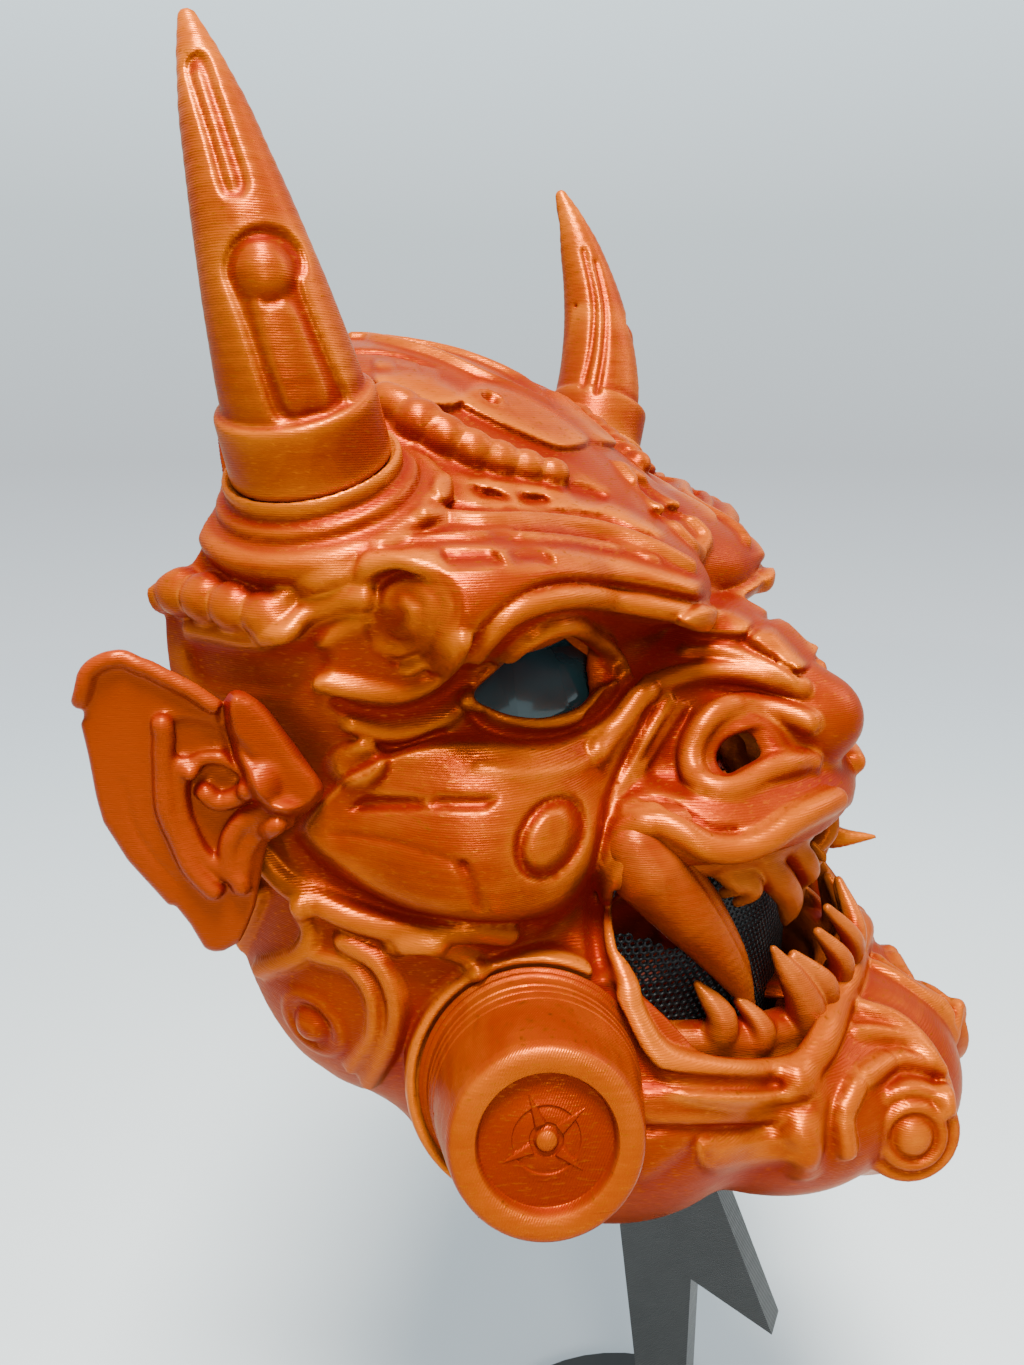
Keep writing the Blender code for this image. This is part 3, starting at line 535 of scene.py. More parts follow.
def shapeCheek(clay):
    clay.groove([(292, 842), (312, 868), (346, 892), (392, 909), (440, 920), (490, 926), (535, 925)],
                [1.8, 2.4, 3.0, 3.2, 3.2], 2.4, 1.5)
    clay.plate([(303, 828), (318, 805), (345, 780), (380, 760), (420, 747), (450, 741), (480, 740),
                (520, 744), (560, 741), (590, 728), (612, 711), (632, 688), (648, 676), (640, 720),
                (620, 760), (606, 800), (599, 840), (590, 870), (562, 904), (530, 917), (480, 919),
                (420, 911), (380, 896), (340, 869), (312, 845)], 3.0, 1.3)
    slots = (((348, 810), (366, 796), (428, 799), (422, 809)),
             ((428, 809), (434, 797), (498, 797), (486, 810)))
    for slot in slots:
        clay.plate(slot, -1.5, 0.4, smooth=False)
    tilt = math.radians(28)
    ovals = []
    for wide, tall in ((31, 45), (23, 36)):
        ovals.append([(550 + wide * math.cos(a) * math.cos(tilt) + tall * math.sin(a) * math.sin(tilt),
                       838 + wide * math.cos(a) * math.sin(tilt) - tall * math.sin(a) * math.cos(tilt))
                      for a in np.linspace(0, 2 * math.pi, 17)[:-1]])
    clay.plate(ovals[0], -2.0, 0.9)
    clay.plate(ovals[1], 3.2, 3.6)
    clay.groove([(331, 835), (370, 838), (404, 846), (440, 858), (463, 866)], 0.7, 0.8, 0.3)
    clay.groove([(463, 866), (472, 886), (482, 912)], 1.2, 0.9, 0.3, steps=3)
    clay.ridge([(262, 852), (290, 882), (330, 906), (370, 922), (420, 931), (470, 929), (505, 932)], 2.8,
               0.6)
    clay.ridge([(480, 768), (530, 775), (580, 764), (612, 742)], 0.9, -0.3)


def shapeNose(clay):
    clay.plate([(655, 735), (684, 706), (694, 722), (684, 762), (692, 788), (662, 788), (645, 770)], -2.6,
               4)
    clay.groove([(656, 722), (674, 702), (704, 690), (742, 689), (776, 697), (796, 708)],
                [2.4, 3.4, 4.2, 4.4, 3.6, 2.0], 2.3, 2.5)
    clay.ridge([(596, 752), (620, 722), (645, 692), (680, 677), (720, 671), (760, 675), (800, 688)], 2.6,
               0.4)
    clay.ridge([(808, 722), (782, 713), (742, 706), (713, 715), (695, 738), (691, 764), (704, 785),
                (734, 789), (768, 770), (798, 762), (808, 762)], 2.9, 0.2)
    clay.ridge([(668, 702), (645, 738), (628, 772), (613, 802), (606, 842), (602, 880)], 1.5, 0.3)
    clay.ridge([(682, 706), (656, 744), (641, 768)], 1.0, 0.2)
    clay.plate([(621, 801), (640, 795), (660, 803), (662, 816), (640, 822), (620, 816)], 1.6, 1.6)
    clay.groove([(640, 797), (662, 800), (690, 818), (712, 831), (740, 832)], 1.1, 1.2)
    clay.plate([(676, 622), (702, 606), (726, 607), (752, 622), (748, 636), (700, 634)], 2.6, 0.6,
               smooth=False)
    clay.plate([(743, 641), (761, 629), (775, 630), (808, 666), (796, 673), (770, 656)], 2.8, 0.6,
               smooth=False)
    clay.groove([(742, 640), (772, 655), (797, 675)], 1.0, 1.0)
    clay.ridge([(684, 650), (720, 650), (760, 662), (792, 680)], 1.2, 0)


def shapeMouth(clay):
    clay.ridge([(604, 880), (608, 852), (624, 830), (650, 822), (680, 832), (705, 846), (735, 849),
                (765, 839), (792, 821), (832, 800)], 3.0, 0.6)
    clay.ridge([(622, 858), (611, 884), (608, 912), (614, 955), (626, 1000), (642, 1038), (664, 1062),
                (700, 1072), (745, 1077), (790, 1072), (815, 1050), (832, 1014), (845, 985), (856, 958)],
               [2.8, 2.8, 2.8, 2.8, 3.0, 3.3, 3.6, 3.8, 4.0, 4.0, 4.0, 3.8, 3.8, 3.6], 1.0)
    clay.groove([(596, 900), (596, 940), (606, 985), (622, 1030), (640, 1062), (664, 1080), (720, 1086),
                 (785, 1086)], 2.0, 2.0, 1.2)


jawWheel = {
    "way": (-0.86, -0.47, 0.16),
    "proud": 1.6,
    "profile": ((0, -14), (0, 4.2), (1.6, 4.1), (3.4, 3.6), (4.3, 2.6), (4.7, 1.9), (5.4, 1.9), (5.8, 2.9),
                (6.6, 3.2), (7.6, 2.9), (8.2, 1.2), (8.8, 0.9), (9.3, 1.7), (10.6, 1.7), (11.4, 0.6),
                (11.6, -14)),
}


def shapeJaw(clay):
    clay.plate([(640, 1090), (700, 1094), (760, 1094), (792, 1090), (800, 1118), (760, 1124), (650, 1126)],
               2.0, 3.2)
    clay.plate([(640, 1136), (690, 1133), (692, 1144), (650, 1178), (640, 1178)], 1.0, 0.9)
    clay.plate([(700, 1138), (714, 1146), (768, 1136), (806, 1130), (812, 1158), (760, 1164), (712, 1172),
                (698, 1160)], 1.9, 1.3)
    clay.groove([(646, 1129), (700, 1129), (760, 1127), (800, 1123)], 1.0, 0.9)
    clay.ridge([(706, 1143), (740, 1138), (772, 1132)], 1.1, 0.5)
    clay.ridge([(798, 1082), (810, 1098), (806, 1120)], 3.4, -0.6, 3)
    clay.ridge([(798, 1132), (808, 1148), (804, 1166)], 3.2, -0.8, 3)
    wheel = clay.lay([(906, 1128), (906, 1128)], 1)[0]
    way = np.array(jawWheel["way"]) / np.linalg.norm(jawWheel["way"])
    clay.rings(wheel + jawWheel["proud"] * way, way, jawWheel["profile"], 0.8)
    for petal in (((846, 1148), (842, 1124)), ((843, 1110), (855, 1087)), ((864, 1077), (886, 1063)),
                  ((900, 1060), (922, 1066))):
        clay.ridge(petal, 2.6, 0, 0.9, steps=3)
    clay.ridge([(862, 1008), (896, 1020), (924, 1046), (941, 1080), (947, 1108)], 2.0, 0.2)
    clay.ridge([(856, 1032), (884, 1034), (918, 1044), (940, 1070)], 1.8, 0.2)
    clay.disc((312, 1024), ((0, 2.8), (2.2, 2.5), (3.8, 1.2), (4.6, 0), (5.4, 0), (6.0, 0.9), (8.4, 0.9),
                            (9.2, 0)))
    clay.ridge([(318, 955), (350, 965), (372, 995), (373, 1035), (352, 1066)], 1.6, 0.2)
    clay.ridge([(345, 940), (380, 962), (397, 1000), (393, 1040), (370, 1078)], 2.2, 0.4)
    clay.ridge([(262, 888), (250, 925), (240, 960), (236, 978)], 2.4, 0.4)
    clay.ridge([(300, 905), (312, 930), (300, 955), (262, 968)], 2.2, 0.2)
    clay.ridge([(395, 945), (430, 945), (465, 955), (478, 972)], 2.0, 0.2)


def makeFace():
    cell = faceClay["cell"]
    clay = Clay(faceClay["low"], faceClay["high"], cell, folded=True)
    for centre, radii, lean, turn, soft in faceClay["masses"]:
        clay.egg(centre, radii, lean, turn, soft)
    masses = clay.field.copy()
    clay.rings(hornBase, hornWay, socketProfile, 0.7)
    clay.rings(flangePlace, flangeWay, seatProfile, 1.2)
    report("masses of the face")
    for shaping in (shapeForehead, shapeBrow, shapeTemple, shapeCheek, shapeNose, shapeMouth, shapeJaw):
        shaping(clay)
        report(shaping.__name__)
    clay.outer = clay.field.copy()
    clay.hollow = np.maximum(masses + faceClay["wall"], clay.outer + faceClay["thinnest"])
    clay.field = np.maximum(clay.outer, -clay.hollow)
    x, y, z = clay.axes
    rim = flatDistance(faceClay["rim"], y[:, None], z[None, :])
    clay.field = np.maximum(clay.field, -rim[None])
    cutOpenings(clay)
    clay.soften()
    report("openings cut")
    return clay


# Openings: outlines by pixels, and the mouth by its front view in mm
openings = {
    "eye": ((473, 696), (495, 672), (522, 649), (548, 637), (571, 636), (592, 650), (612, 667), (616, 674),
            (614, 680), (596, 689), (578, 707), (548, 717), (522, 717), (498, 711)),
    "eyeDepth": 16,
    "nostril": ((716, 760), (722, 744), (736, 735), (763, 728), (785, 736), (786, 746), (763, 756),
                (740, 768), (726, 774)),
    "nostrilDepth": 2.6,
    "mouth": ((3, -79), (0, -79), (-22, -81), (-38, -82), (-49, -86), (-54, -97), (-55, -114), (-51, -130),
              (-41, -138), (-18, -134), (0, -124), (3, -124)),
    "mouthSeen": ((624, 866), (614, 892), (612, 918), (619, 957), (632, 998), (648, 1030), (668, 1046),
                  (705, 1054), (745, 1058), (788, 1054), (806, 1035), (824, 1000), (838, 975), (854, 958),
                  (900, 950), (900, 800), (840, 812), (806, 834), (772, 850), (735, 858), (705, 854),
                  (676, 840), (650, 838)),
    "mouthBack": 17,
    "eyeRoom": 1.0,
    "eyeSpread": 0.12,
}


# The front view of the right lens: its outline in mm and where its front lies
def lensView():
    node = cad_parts["eye_lens_right"]
    corners = np.array([node.matrix_world @ vertex.co for vertex in node.data.vertices]) / mm - hornLine
    ways = np.linspace(0, 2 * math.pi, 49)[:-1]
    reach = corners[:, [0]] * np.cos(ways) + corners[:, [2]] * np.sin(ways)
    return corners[reach.argmax(0)][:, [0, 2]], corners[:, 1].min()


# Cut an outline of pixels along the line of sight, down to a depth behind the surface
def cutAlongSight(clay, pixels, depth, soft=0.8, view=None):
    outline = smoothPath(pixels, 4, closed=True)
    laid = clay.cast(outline)
    sight = laid.mean(0) - eyePlace
    sight /= np.linalg.norm(sight)
    start = (laid @ sight).min() - 12
    stop = (laid @ sight).mean() + depth
    cut, x, y, z = clay.part(laid.min(0) - 14, laid.max(0) + 14)
    across, down, far = toPixels(x, y, z)
    along = x * sight[0] + y * sight[1] + z * sight[2]
    shape = flatDistance(outline, across, down) * far.astype(np.float32) / focal
    shape = np.maximum(shape, np.maximum(start - along, along - stop)).astype(np.float32)
    if view:
        outline, front = view
        room = openings["eyeRoom"] + openings["eyeSpread"] * np.maximum(front - y, 0)
        shape = np.maximum(shape, flatDistance(outline, x[:, :, 0], z[0])[:, None, :]
                           - room).astype(np.float32)
    clay.blend(cut, shape, soft, carve=True)


def cutOpenings(clay):
    cutAlongSight(clay, openings["eye"], openings["eyeDepth"], view=lensView())
    cutAlongSight(clay, openings["nostril"], openings["nostrilDepth"], 1.2)
    cut, x, y, z = clay.part((-60, -140, -140), (clay.axes[0][-1], openings["mouthBack"] - 50, -70))
    outline = smoothPath(openings["mouth"][1:-1], 4)
    outline = np.vstack([outline, (4, openings["mouth"][-1][1]), (4, openings["mouth"][0][1])])
    gap = flatDistance(outline, x[:, :, 0], z[0])[:, None, :]
    across, down, far = toPixels(x, y, z)
    seen = flatDistance(smoothPath(openings["mouthSeen"], 3, closed=True), across, down) * (far / focal)
    clay.blend(cut, np.maximum(np.broadcast_to(gap, seen.shape), seen).astype(np.float32), 1.0, carve=True)


# How far the surface stands out: above 0 on ridges and below 0 in hollows, from the clay around it
def reliefOf(clay, points, normals):
    total = 0
    for reach, weight in ((2.2, 0.8), (4.5, 0.8), (9, 0.6)):
        outside = clay.sample(points + reach * normals) / reach
        inside = -clay.sample(points - 0.7 * reach * normals) / (0.7 * reach)
        total = total + weight * (np.clip(outside, -0.5, 1.2) - np.clip(inside, -0.5, 1.2))
    return np.clip(total, -1.5, 1.5)


# Give a clay mesh its finer normals and its relief, then move it to its place in metres
def dress(piece, clay, name, outer=None):
    mesh = piece.data
    count = len(mesh.vertices)
    points = np.empty(3 * count, np.float32)
    mesh.vertices.foreach_get("co", points)
    points = points.reshape(-1, 3).astype(float)
    folded = points.copy()
    flip = np.where(points[:, 0] > 0, -1.0, 1.0) if clay.folded else np.ones(count)
    folded[:, 0] *= flip
    normals = clay.slope(folded, 0.9 * clay.cell)
    keep = clay.field
    if outer is not None:
        clay.field = outer
    relief = reliefOf(clay, folded, normals)
    if outer is not None:
        # Inner surfaces get a small negative relief, a faint painted shade over the inside of the shell
        relief = np.where(np.abs(clay.sample(folded)) < 0.9, relief, -0.12)
    clay.field = keep
    normals[:, 0] *= flip
    keepRelief(mesh, relief)
    piece.name = mesh.name = name
    mesh.transform(Matrix.Scale(mm, 4) @ Matrix.Translation(hornLine))
    mesh.shade_smooth()
    mesh.normals_split_custom_set_from_vertices([tuple(n) for n in normals])
    return piece


# The piece rides on the mask, takes its finish and stands for CAD nodes
def standFor(piece, paint, slot, *nodes):
    piece.data.materials.clear()
    piece.data.materials.append(paint)
    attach(piece, "root")
    if nodes:
        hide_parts(*nodes)
    return piece


# A mirrored copy of a piece, with its own mesh
def otherSide(piece, name):
    double = putIn(name, piece.data.copy())
    double.data.transform(Matrix.Scale(-1, 4, (1, 0, 0)))
    double.data.flip_normals()
    double.data.name = name
    return double


# An output of a node. Sums and products on it add Math nodes
class Socket:
    def __init__(self, paint, output):
        self.paint = paint
        self.output = output

    def math(self, operation, first, second):
        return self.paint.add("ShaderNodeMath", {"operation": operation}, [first, second])

    def __add__(self, other):
        return self.math("ADD", self, other)

    def __sub__(self, other):
        return self.math("SUBTRACT", self, other)

    def __mul__(self, other):
        return self.math("MULTIPLY", self, other)

    def __truediv__(self, other):
        return self.math("DIVIDE", self, other)

    def __rsub__(self, other):
        return self.math("SUBTRACT", other, self)

    def clamp(self):
        return self.paint.add("ShaderNodeClamp", {}, [self, 0.0, 1.0])


# A material with its nodes
class Paint:
    def __init__(self, name, **constants):
        self.material = bpy.data.materials.new(name)
        self.material.use_nodes = True
        self.nodes = self.material.node_tree.nodes
        self.links = self.material.node_tree.links
        self.shader = self.nodes["Principled BSDF"]
        for key, value in constants.items():
            self.shader.inputs[key.replace("_", " ")].default_value = value

    # Add a node: its settings first, then the values or links of its sockets by place or name
    def add(self, kind, settings=None, inputs=(), output=0):
        node = self.nodes.new(kind)
        for key, value in (settings or {}).items():
            if key == "stops":
                ramp = node.color_ramp
                while len(ramp.elements) < len(value):
                    ramp.elements.new(0.5)
                for element, (place, colour) in zip(ramp.elements, value):
                    element.position, element.color = place, (*colour, 1)
            else:
                setattr(node, key, value)
        pairs = inputs.items() if isinstance(inputs, dict) else enumerate(inputs)
        for key, value in pairs:
            if isinstance(value, Socket):
                self.links.new(value.output, node.inputs[key])
            else:
                node.inputs[key].default_value = value
        return Socket(self, node.outputs[output])

    def feed(self, name, value):
        self.links.new(value.output, self.shader.inputs[name])

    def place(self, scale=(1, 1, 1), turn=(0, 0, 0)):
        spot = self.add("ShaderNodeTexCoord", output="Object")
        return self.add("ShaderNodeMapping", {}, {"Vector": spot, "Scale": scale, "Rotation": turn})

    def noise(self, scale, detail=3.0, rough=0.55, stretch=(1, 1, 1), turn=(0, 0, 0)):
        return self.add("ShaderNodeTexNoise", {}, {"Vector": self.place(stretch, turn), "Scale": scale,
                                                  "Detail": detail, "Roughness": rough})

    # A blend of two colours
    def mix(self, share, one, two):
        return self.add("ShaderNodeMix", {"data_type": "RGBA"}, {0: share, 6: one, 7: two}, output=2)

    def bump(self, height, distance, strength):
        return self.add("ShaderNodeBump", {}, {"Strength": strength, "Distance": distance,
                                               "Height": height})


orangeFinish = {
    # painted shade: the colour that recesses darken toward
    "deep": (0.095, 0.0014, 0.0001, 1),
    "body": (0.170, 0.0165, 0.0001, 1),
    # painted highlight: the golden colour that ridges and glints lighten toward
    "ridge": (0.39, 0.088, 0.0010, 1),
    "glow": (0.26, 0.052, 0.0003, 1),
    # colour of a painted glow that the recesses emit
    "through": (0.80, 0.010, 0.0, 1),
    "roughness": 0.32,
    "metallic": 0.44,
    "shine": 0.1,
    "tint": (1.0, 0.50, 0.16, 1),
    # strength of that painted glow
    "paintedGlowStrength": 0.08,
    "bumpHeight": 0.00022,
}
# the teeth's ridge colour is a painted highlight on ridges and glints
teethFinish = {"body": (0.16, 0.0160, 0.0004, 1), "ridge": (0.30, 0.068, 0.006, 1), "metallic": 0.3}
earFinish = {
    "body": (0.115, 0.0048, 0.0001, 1),
    "glow": (0.14, 0.010, 0.0001, 1),
    # painted highlight colour on ridges and glints
    "ridge": (0.20, 0.024, 0.0003, 1),
    "metallic": 0.2,
    "shine": 0.2,
}
canisterLines = (1.33, 0, 0.52)    # the turn that lays the printed layers across the canister's axis


# Silky printed plastic: fine layer lines, brushed streaks, painted shade (deeper red) in the hollows,
# painted highlights on ridges and in glints, and a painted glow in the hollows
def printedPlastic(name, finish, lineTurn=(0, 0, 0)):
    # The emission strength sets a painted glow in the recesses
    paint = Paint(name, IOR=1.45, Emission_Strength=finish["paintedGlowStrength"],
                  Specular_IOR_Level=finish["shine"], Specular_Tint=finish["tint"])
    relief = paint.add("ShaderNodeAttribute", {"attribute_name": "relief"}, output="Fac")
    mottle = paint.noise(38, 4, 0.6)
    streaks = paint.noise(620, 3, 0.6, (0.10, 0.10, 1.0), lineTurn)
    fine = paint.noise(2300, 2, 0.5, (0.25, 0.25, 1.0), lineTurn)
    # Painted shade: the relief attribute darkens recesses toward the deep colour, with random mottle mixed
    # in
    hollow = (0 - relief * 1.2 + (mottle - 0.5) * 0.35).clamp()
    # Painted highlight: ridges lighten toward the ridge colour, with random mottle and streaks mixed in
    proud = (relief * 0.75 + (mottle - 0.5) * 0.6 + (streaks - 0.5) * 0.4).clamp()
    glow = ((mottle - 0.52) * 3.0).clamp() * 0.4
    body = paint.mix(glow, finish["body"], finish["glow"])
    # Painted glints: fine noise speckles that lighten the colour toward the ridge colour and also raise the
    # metallic
    paintedGlint = ((fine - 0.58) * 7).clamp()
    # painted shade mixed into the base colour
    colour = paint.mix(hollow * 0.8, body, finish["deep"])
    # painted highlights from ridges and glints mixed into the base colour
    colour = paint.mix((proud * 0.8 + paintedGlint * 0.35).clamp(), colour, finish["ridge"])
    paint.feed("Base Color", colour)
    # Painted glow: recesses emit a red glow that stands in for light shining through the plastic
    paint.feed("Emission Color", paint.mix(hollow, (0.0, 0.0, 0.0, 1), finish["through"]))
    paint.feed("Metallic", paintedGlint * 0.4 + finish["metallic"])
    paint.feed("Roughness", (streaks - 0.5) * 0.22 + (mottle - 0.5) * 0.14 + hollow * 0.12
               + finish["roughness"])
    lines = paint.add("ShaderNodeTexWave", {"wave_type": "BANDS", "bands_direction": "Z"},
                      {"Vector": paint.place((1, 1, 1), lineTurn), "Scale": 720.0, "Distortion": 1.2,
                       "Detail": 1.0, "Detail Scale": 0.6})
    height = streaks * 0.7 + fine * 0.5 + lines * 0.2
    paint.feed("Normal", paint.bump(height, finish["bumpHeight"], 0.6))
    return paint.material


def smokedPlastic():
    paint = Paint("smoked_lens", Metallic=0.0, IOR=1.5, Coat_Weight=0.4, Coat_Roughness=0.04)
    cloud = paint.noise(60, 2)
    paint.feed("Base Color", paint.mix(cloud, (0.002, 0.011, 0.013, 1), (0.020, 0.050, 0.058, 1)))
    paint.feed("Roughness", (cloud - 0.5) * 0.1 + 0.12)
    return paint.material


def screenMetal():
    paint = Paint("perforated_metal", Metallic=0.7, IOR=1.5)
    grain = paint.noise(900, 2)
    paint.feed("Base Color", paint.mix(grain, (0.006, 0.008, 0.009, 1), (0.022, 0.026, 0.028, 1)))
    paint.feed("Roughness", grain * 0.25 + 0.28)
    return paint.material


def standPlastic():
    paint = Paint("grey_layers", Metallic=0.15, IOR=1.46)
    cloud = paint.noise(70, 3)
    streaks = paint.noise(700, 2, 0.5, (0.08, 0.08, 1.0))
    lines = paint.add("ShaderNodeTexWave", {"wave_type": "BANDS", "bands_direction": "Z"},
                      {"Vector": paint.place(), "Scale": 520.0, "Distortion": 0.6, "Detail": 1.0,
                       "Detail Scale": 0.8})
    shade = (cloud * 0.4 + streaks * 0.35 + lines * 0.25).clamp()
    paint.feed("Base Color", paint.mix(shade, (0.009, 0.0098, 0.010, 1), (0.028, 0.0295, 0.030, 1)))
    paint.feed("Roughness", streaks * 0.2 + 0.36)
    paint.feed("Normal", paint.bump(lines * 0.6 + streaks * 0.5, 0.0002, 0.7))
    return paint.material


orange = printedPlastic("silk_orange", orangeFinish)
orangeTeeth = printedPlastic("silk_orange_teeth", {**orangeFinish, **teethFinish})
orangeEar = printedPlastic("silk_orange_ear", {**orangeFinish, **earFinish})
orangeCanister = printedPlastic("silk_orange_canister", orangeFinish, canisterLines)
smoked = smokedPlastic()
metal = screenMetal()
grey = standPlastic()

face = makeFace()
shell = face.mesh("shell", faceClay["faces"])
mirrorHalf(shell)
dress(shell, face, "printed_shell", outer=face.outer)
standFor(shell, orange, "orange_plastic", "face_shell")
report(f"shell, {len(shell.data.polygons)} faces")

# Horns
horn = {
    "cell": 0.55,
    "low": (-104, -20, -10),
    "high": (-52, 34, 80),
    "bend": (-14.8, -2.2, 32.6),
    "tip": (-8.9, 14.8, 74),
    "radii": ((0, 14.3), (0.2, 13.4), (0.4, 11.4), (0.6, 9.0), (0.8, 6.3), (0.93, 3.7), (1, 1.9)),
    "collar": ((0, -1.5), (15.4, -1.5), (15.8, -1.1), (15.3, 11.6), (14.8, 12.2), (0, 12.2)),
    "straightSteps": 3,            # steps left out at the bend's start, for the straight root
    "straight": 9,
    "rootRadius": 14.0,
    "underside": -1.5,
    "faces": 60000,
}


def hornLinePoints(count=28):
    share = np.linspace(0, 1, count)[:, None]
    line = hornBase + 2 * share * (1 - share) * np.array(horn["bend"]) + share ** 2 * np.array(horn["tip"])
    places, sizes = zip(*horn["radii"])
    return line, np.interp(share[:, 0], places, sizes)


def makeHorn():
    clay = Clay(horn["low"], horn["high"], cellOf(horn))
    line, sizes = hornLinePoints()
    start = horn["straightSteps"]
    clay.rod(line[start:], sizes[start:], 0)
    below = line[start] - np.outer(np.linspace(horn["straight"], 0, 6), hornWay)
    clay.rod(below, [horn["rootRadius"], sizes[start]], 0)
    clay.rings(hornBase, hornWay, horn["collar"], 0.5)
    x, y, z = clay.spread()
    base = (x - hornBase[0]) * hornWay[0] + (y - hornBase[1]) * hornWay[1] + (z - hornBase[2]) * hornWay[2]
    clay.field = np.maximum(clay.field, horn["underside"] - base).astype(np.float32)
    clay.plate([(186, 66), (194, 54), (205, 56), (217, 90), (234, 140), (247, 180), (243, 194), (230, 196),
                (221, 190), (207, 140), (194, 98)], -1.3, 0.6)
    clay.plate([(193, 72), (199, 68), (210, 100), (226, 150), (236, 184), (230, 186), (215, 142),
                (202, 102)], 0.7, 0.6)
    ring = [(264 + 41 * math.cos(a), 268 + 41 * math.sin(a)) for a in np.linspace(-3.6, 0.45, 14)]
    clay.plate(ring + [(330, 360), (346, 398), (336, 409), (308, 417), (277, 419), (262, 385), (244, 330)],
               -1.2, 0.6)
    clay.plate([(252, 300), (270, 306), (290, 302), (312, 350), (331, 405), (310, 412), (290, 413),
                (272, 370)], 0.9, 0.7)
    clay.disc((265, 269), ((0, 2.4), (2.5, 2.1), (4.6, 1.0), (5.3, 0)))
    clay.far = True
    clay.groove([(584, 250), (594, 300), (592, 345), (583, 385)], 1.2, 0.9)
    clay.groove([(596, 262), (605, 305), (604, 350), (597, 392)], 1.0, 0.8)
    clay.far = False
    clay.soften()
    return clay


hornClay = makeHorn()
hornRight = dress(hornClay.mesh("horn", horn["faces"]), hornClay, "horn_printed_right")
standFor(hornRight, orange, "orange_plastic", "horn_right")
hornLeft = otherSide(hornRight, "horn_printed_left")
standFor(hornLeft, orange, "orange_plastic", "horn_left")
report(f"horns, {len(hornRight.data.polygons)} faces each")

# Ears: a flat sheet in the plane that the CAD ear has, with its outline and relief by pixels
ear = {
    "cell": 0.55,
    "low": (-114, -16, -116),
    "high": (-72, 32, -20),
    "middle": (-85.4, -3.3, -70.4),
    "flare": 33,
    "lean": 8,
    "thickness": 2.8,
    "edgeRound": 1.0,
    "outline": ((114, 657), (100, 660), (86, 669), (81, 681), (83, 700), (84, 719), (80, 722), (88, 755),
                (96, 797), (103, 822), (128, 861), (150, 885), (170, 907), (174, 904), (190, 924),
                (205, 949), (214, 952), (224, 951), (240, 942), (247, 928), (256, 905), (262, 870),
                (268, 842), (290, 826), (318, 800), (324, 790), (300, 752), (264, 706), (240, 690),
                (228, 694), (224, 708), (212, 700), (185, 685), (162, 674), (138, 663)),
    "faces": 60000,
}


def makeEar():
    clay = Clay(ear["low"], ear["high"], cellOf(ear))
    flare, lean = math.radians(ear["flare"]), math.radians(ear["lean"])
    outward = np.array([-math.sin(flare), math.cos(flare), 0])
    upward = np.array([0, -math.sin(lean), math.cos(lean)])
    through = np.cross(outward, upward)
    through /= np.linalg.norm(through)
    middle = np.array(ear["middle"])

    def aside(x, y, z):
        return (x - middle[0]) * through[0] + (y - middle[1]) * through[1] + (z - middle[2]) * through[2]

    x, y, z = clay.spread()
    slab = np.abs(aside(x, y, z)) - ear["thickness"] / 2
    across, down, depth = toPixels(x, y, z)
    edge = np.full(clay.field.shape, 9.0, np.float32)
    near = np.nonzero(slab < 8)
    edge[near] = flatDistance(ear["outline"], across[near], down[near]) * (depth[near] / focal)
    edgeRound = ear["edgeRound"]
    corner = np.hypot(np.maximum(slab + edgeRound, 0), np.maximum(edge + edgeRound, 0))
    corner = corner + np.minimum(np.maximum(slab, edge) + edgeRound, 0) - edgeRound
    clay.field = np.maximum(corner, -30).astype(np.float32)
    clay.side = lambda x, y, z: 0.5 - aside(x, y, z)
    clay.ridge([(84, 700), (90, 672), (114, 660), (140, 667), (164, 678), (190, 691), (214, 706)], 1.6, 0.8)
    clay.plate([(166, 732), (180, 721), (216, 728), (242, 745), (262, 780), (262, 830), (238, 880),
                (206, 872), (178, 836), (165, 785)], -1.5, 1.5)
    clay.ridge([(163, 722), (161, 760), (166, 812), (188, 860), (214, 888)], 2.0, 1.0)
    clay.ridge([(182, 762), (181, 800), (196, 842), (220, 866)], 1.5, 1.0)
    clay.ridge([(229, 868), (231, 838), (244, 818), (268, 810), (286, 816)], 2.1, 1.4)
    clay.ridge([(242, 884), (246, 852), (258, 832), (278, 822)], 1.9, 1.0)
    clay.ridge([(187, 772), (200, 758), (220, 756), (240, 766), (252, 782)], 1.4, 0.8)
    clay.ridge([(206, 790), (218, 799), (236, 795), (256, 783)], 1.9, 1.2)
    clay.groove([(196, 780), (206, 770), (224, 768), (238, 778)], 0.8, 0.6)
    clay.groove([(122, 782), (127, 806), (136, 832), (152, 856), (176, 884)], 0.5, 0.5, 0.3)
    clay.groove([(222, 712), (224, 730), (232, 752), (248, 780)], 1.1, 1.0)
    clay.plate([(230, 698), (242, 694), (266, 712), (300, 758), (322, 790), (300, 812), (264, 806),
                (243, 768), (231, 735)], 3.0, 1.0)
    clay.groove([(240, 694), (270, 722), (300, 760), (320, 788)], 0.6, 0.6, 0.3)
    clay.soften()
    return clay


earClay = makeEar()
earRight = dress(earClay.mesh("ear", ear["faces"]), earClay, "ear_printed_right")
standFor(earRight, orangeEar, "orange_plastic", "ear_right")
earLeft = otherSide(earRight, "ear_printed_left")
standFor(earLeft, orangeEar, "orange_plastic", "ear_left")
report(f"ears, {len(earRight.data.polygons)} faces each")

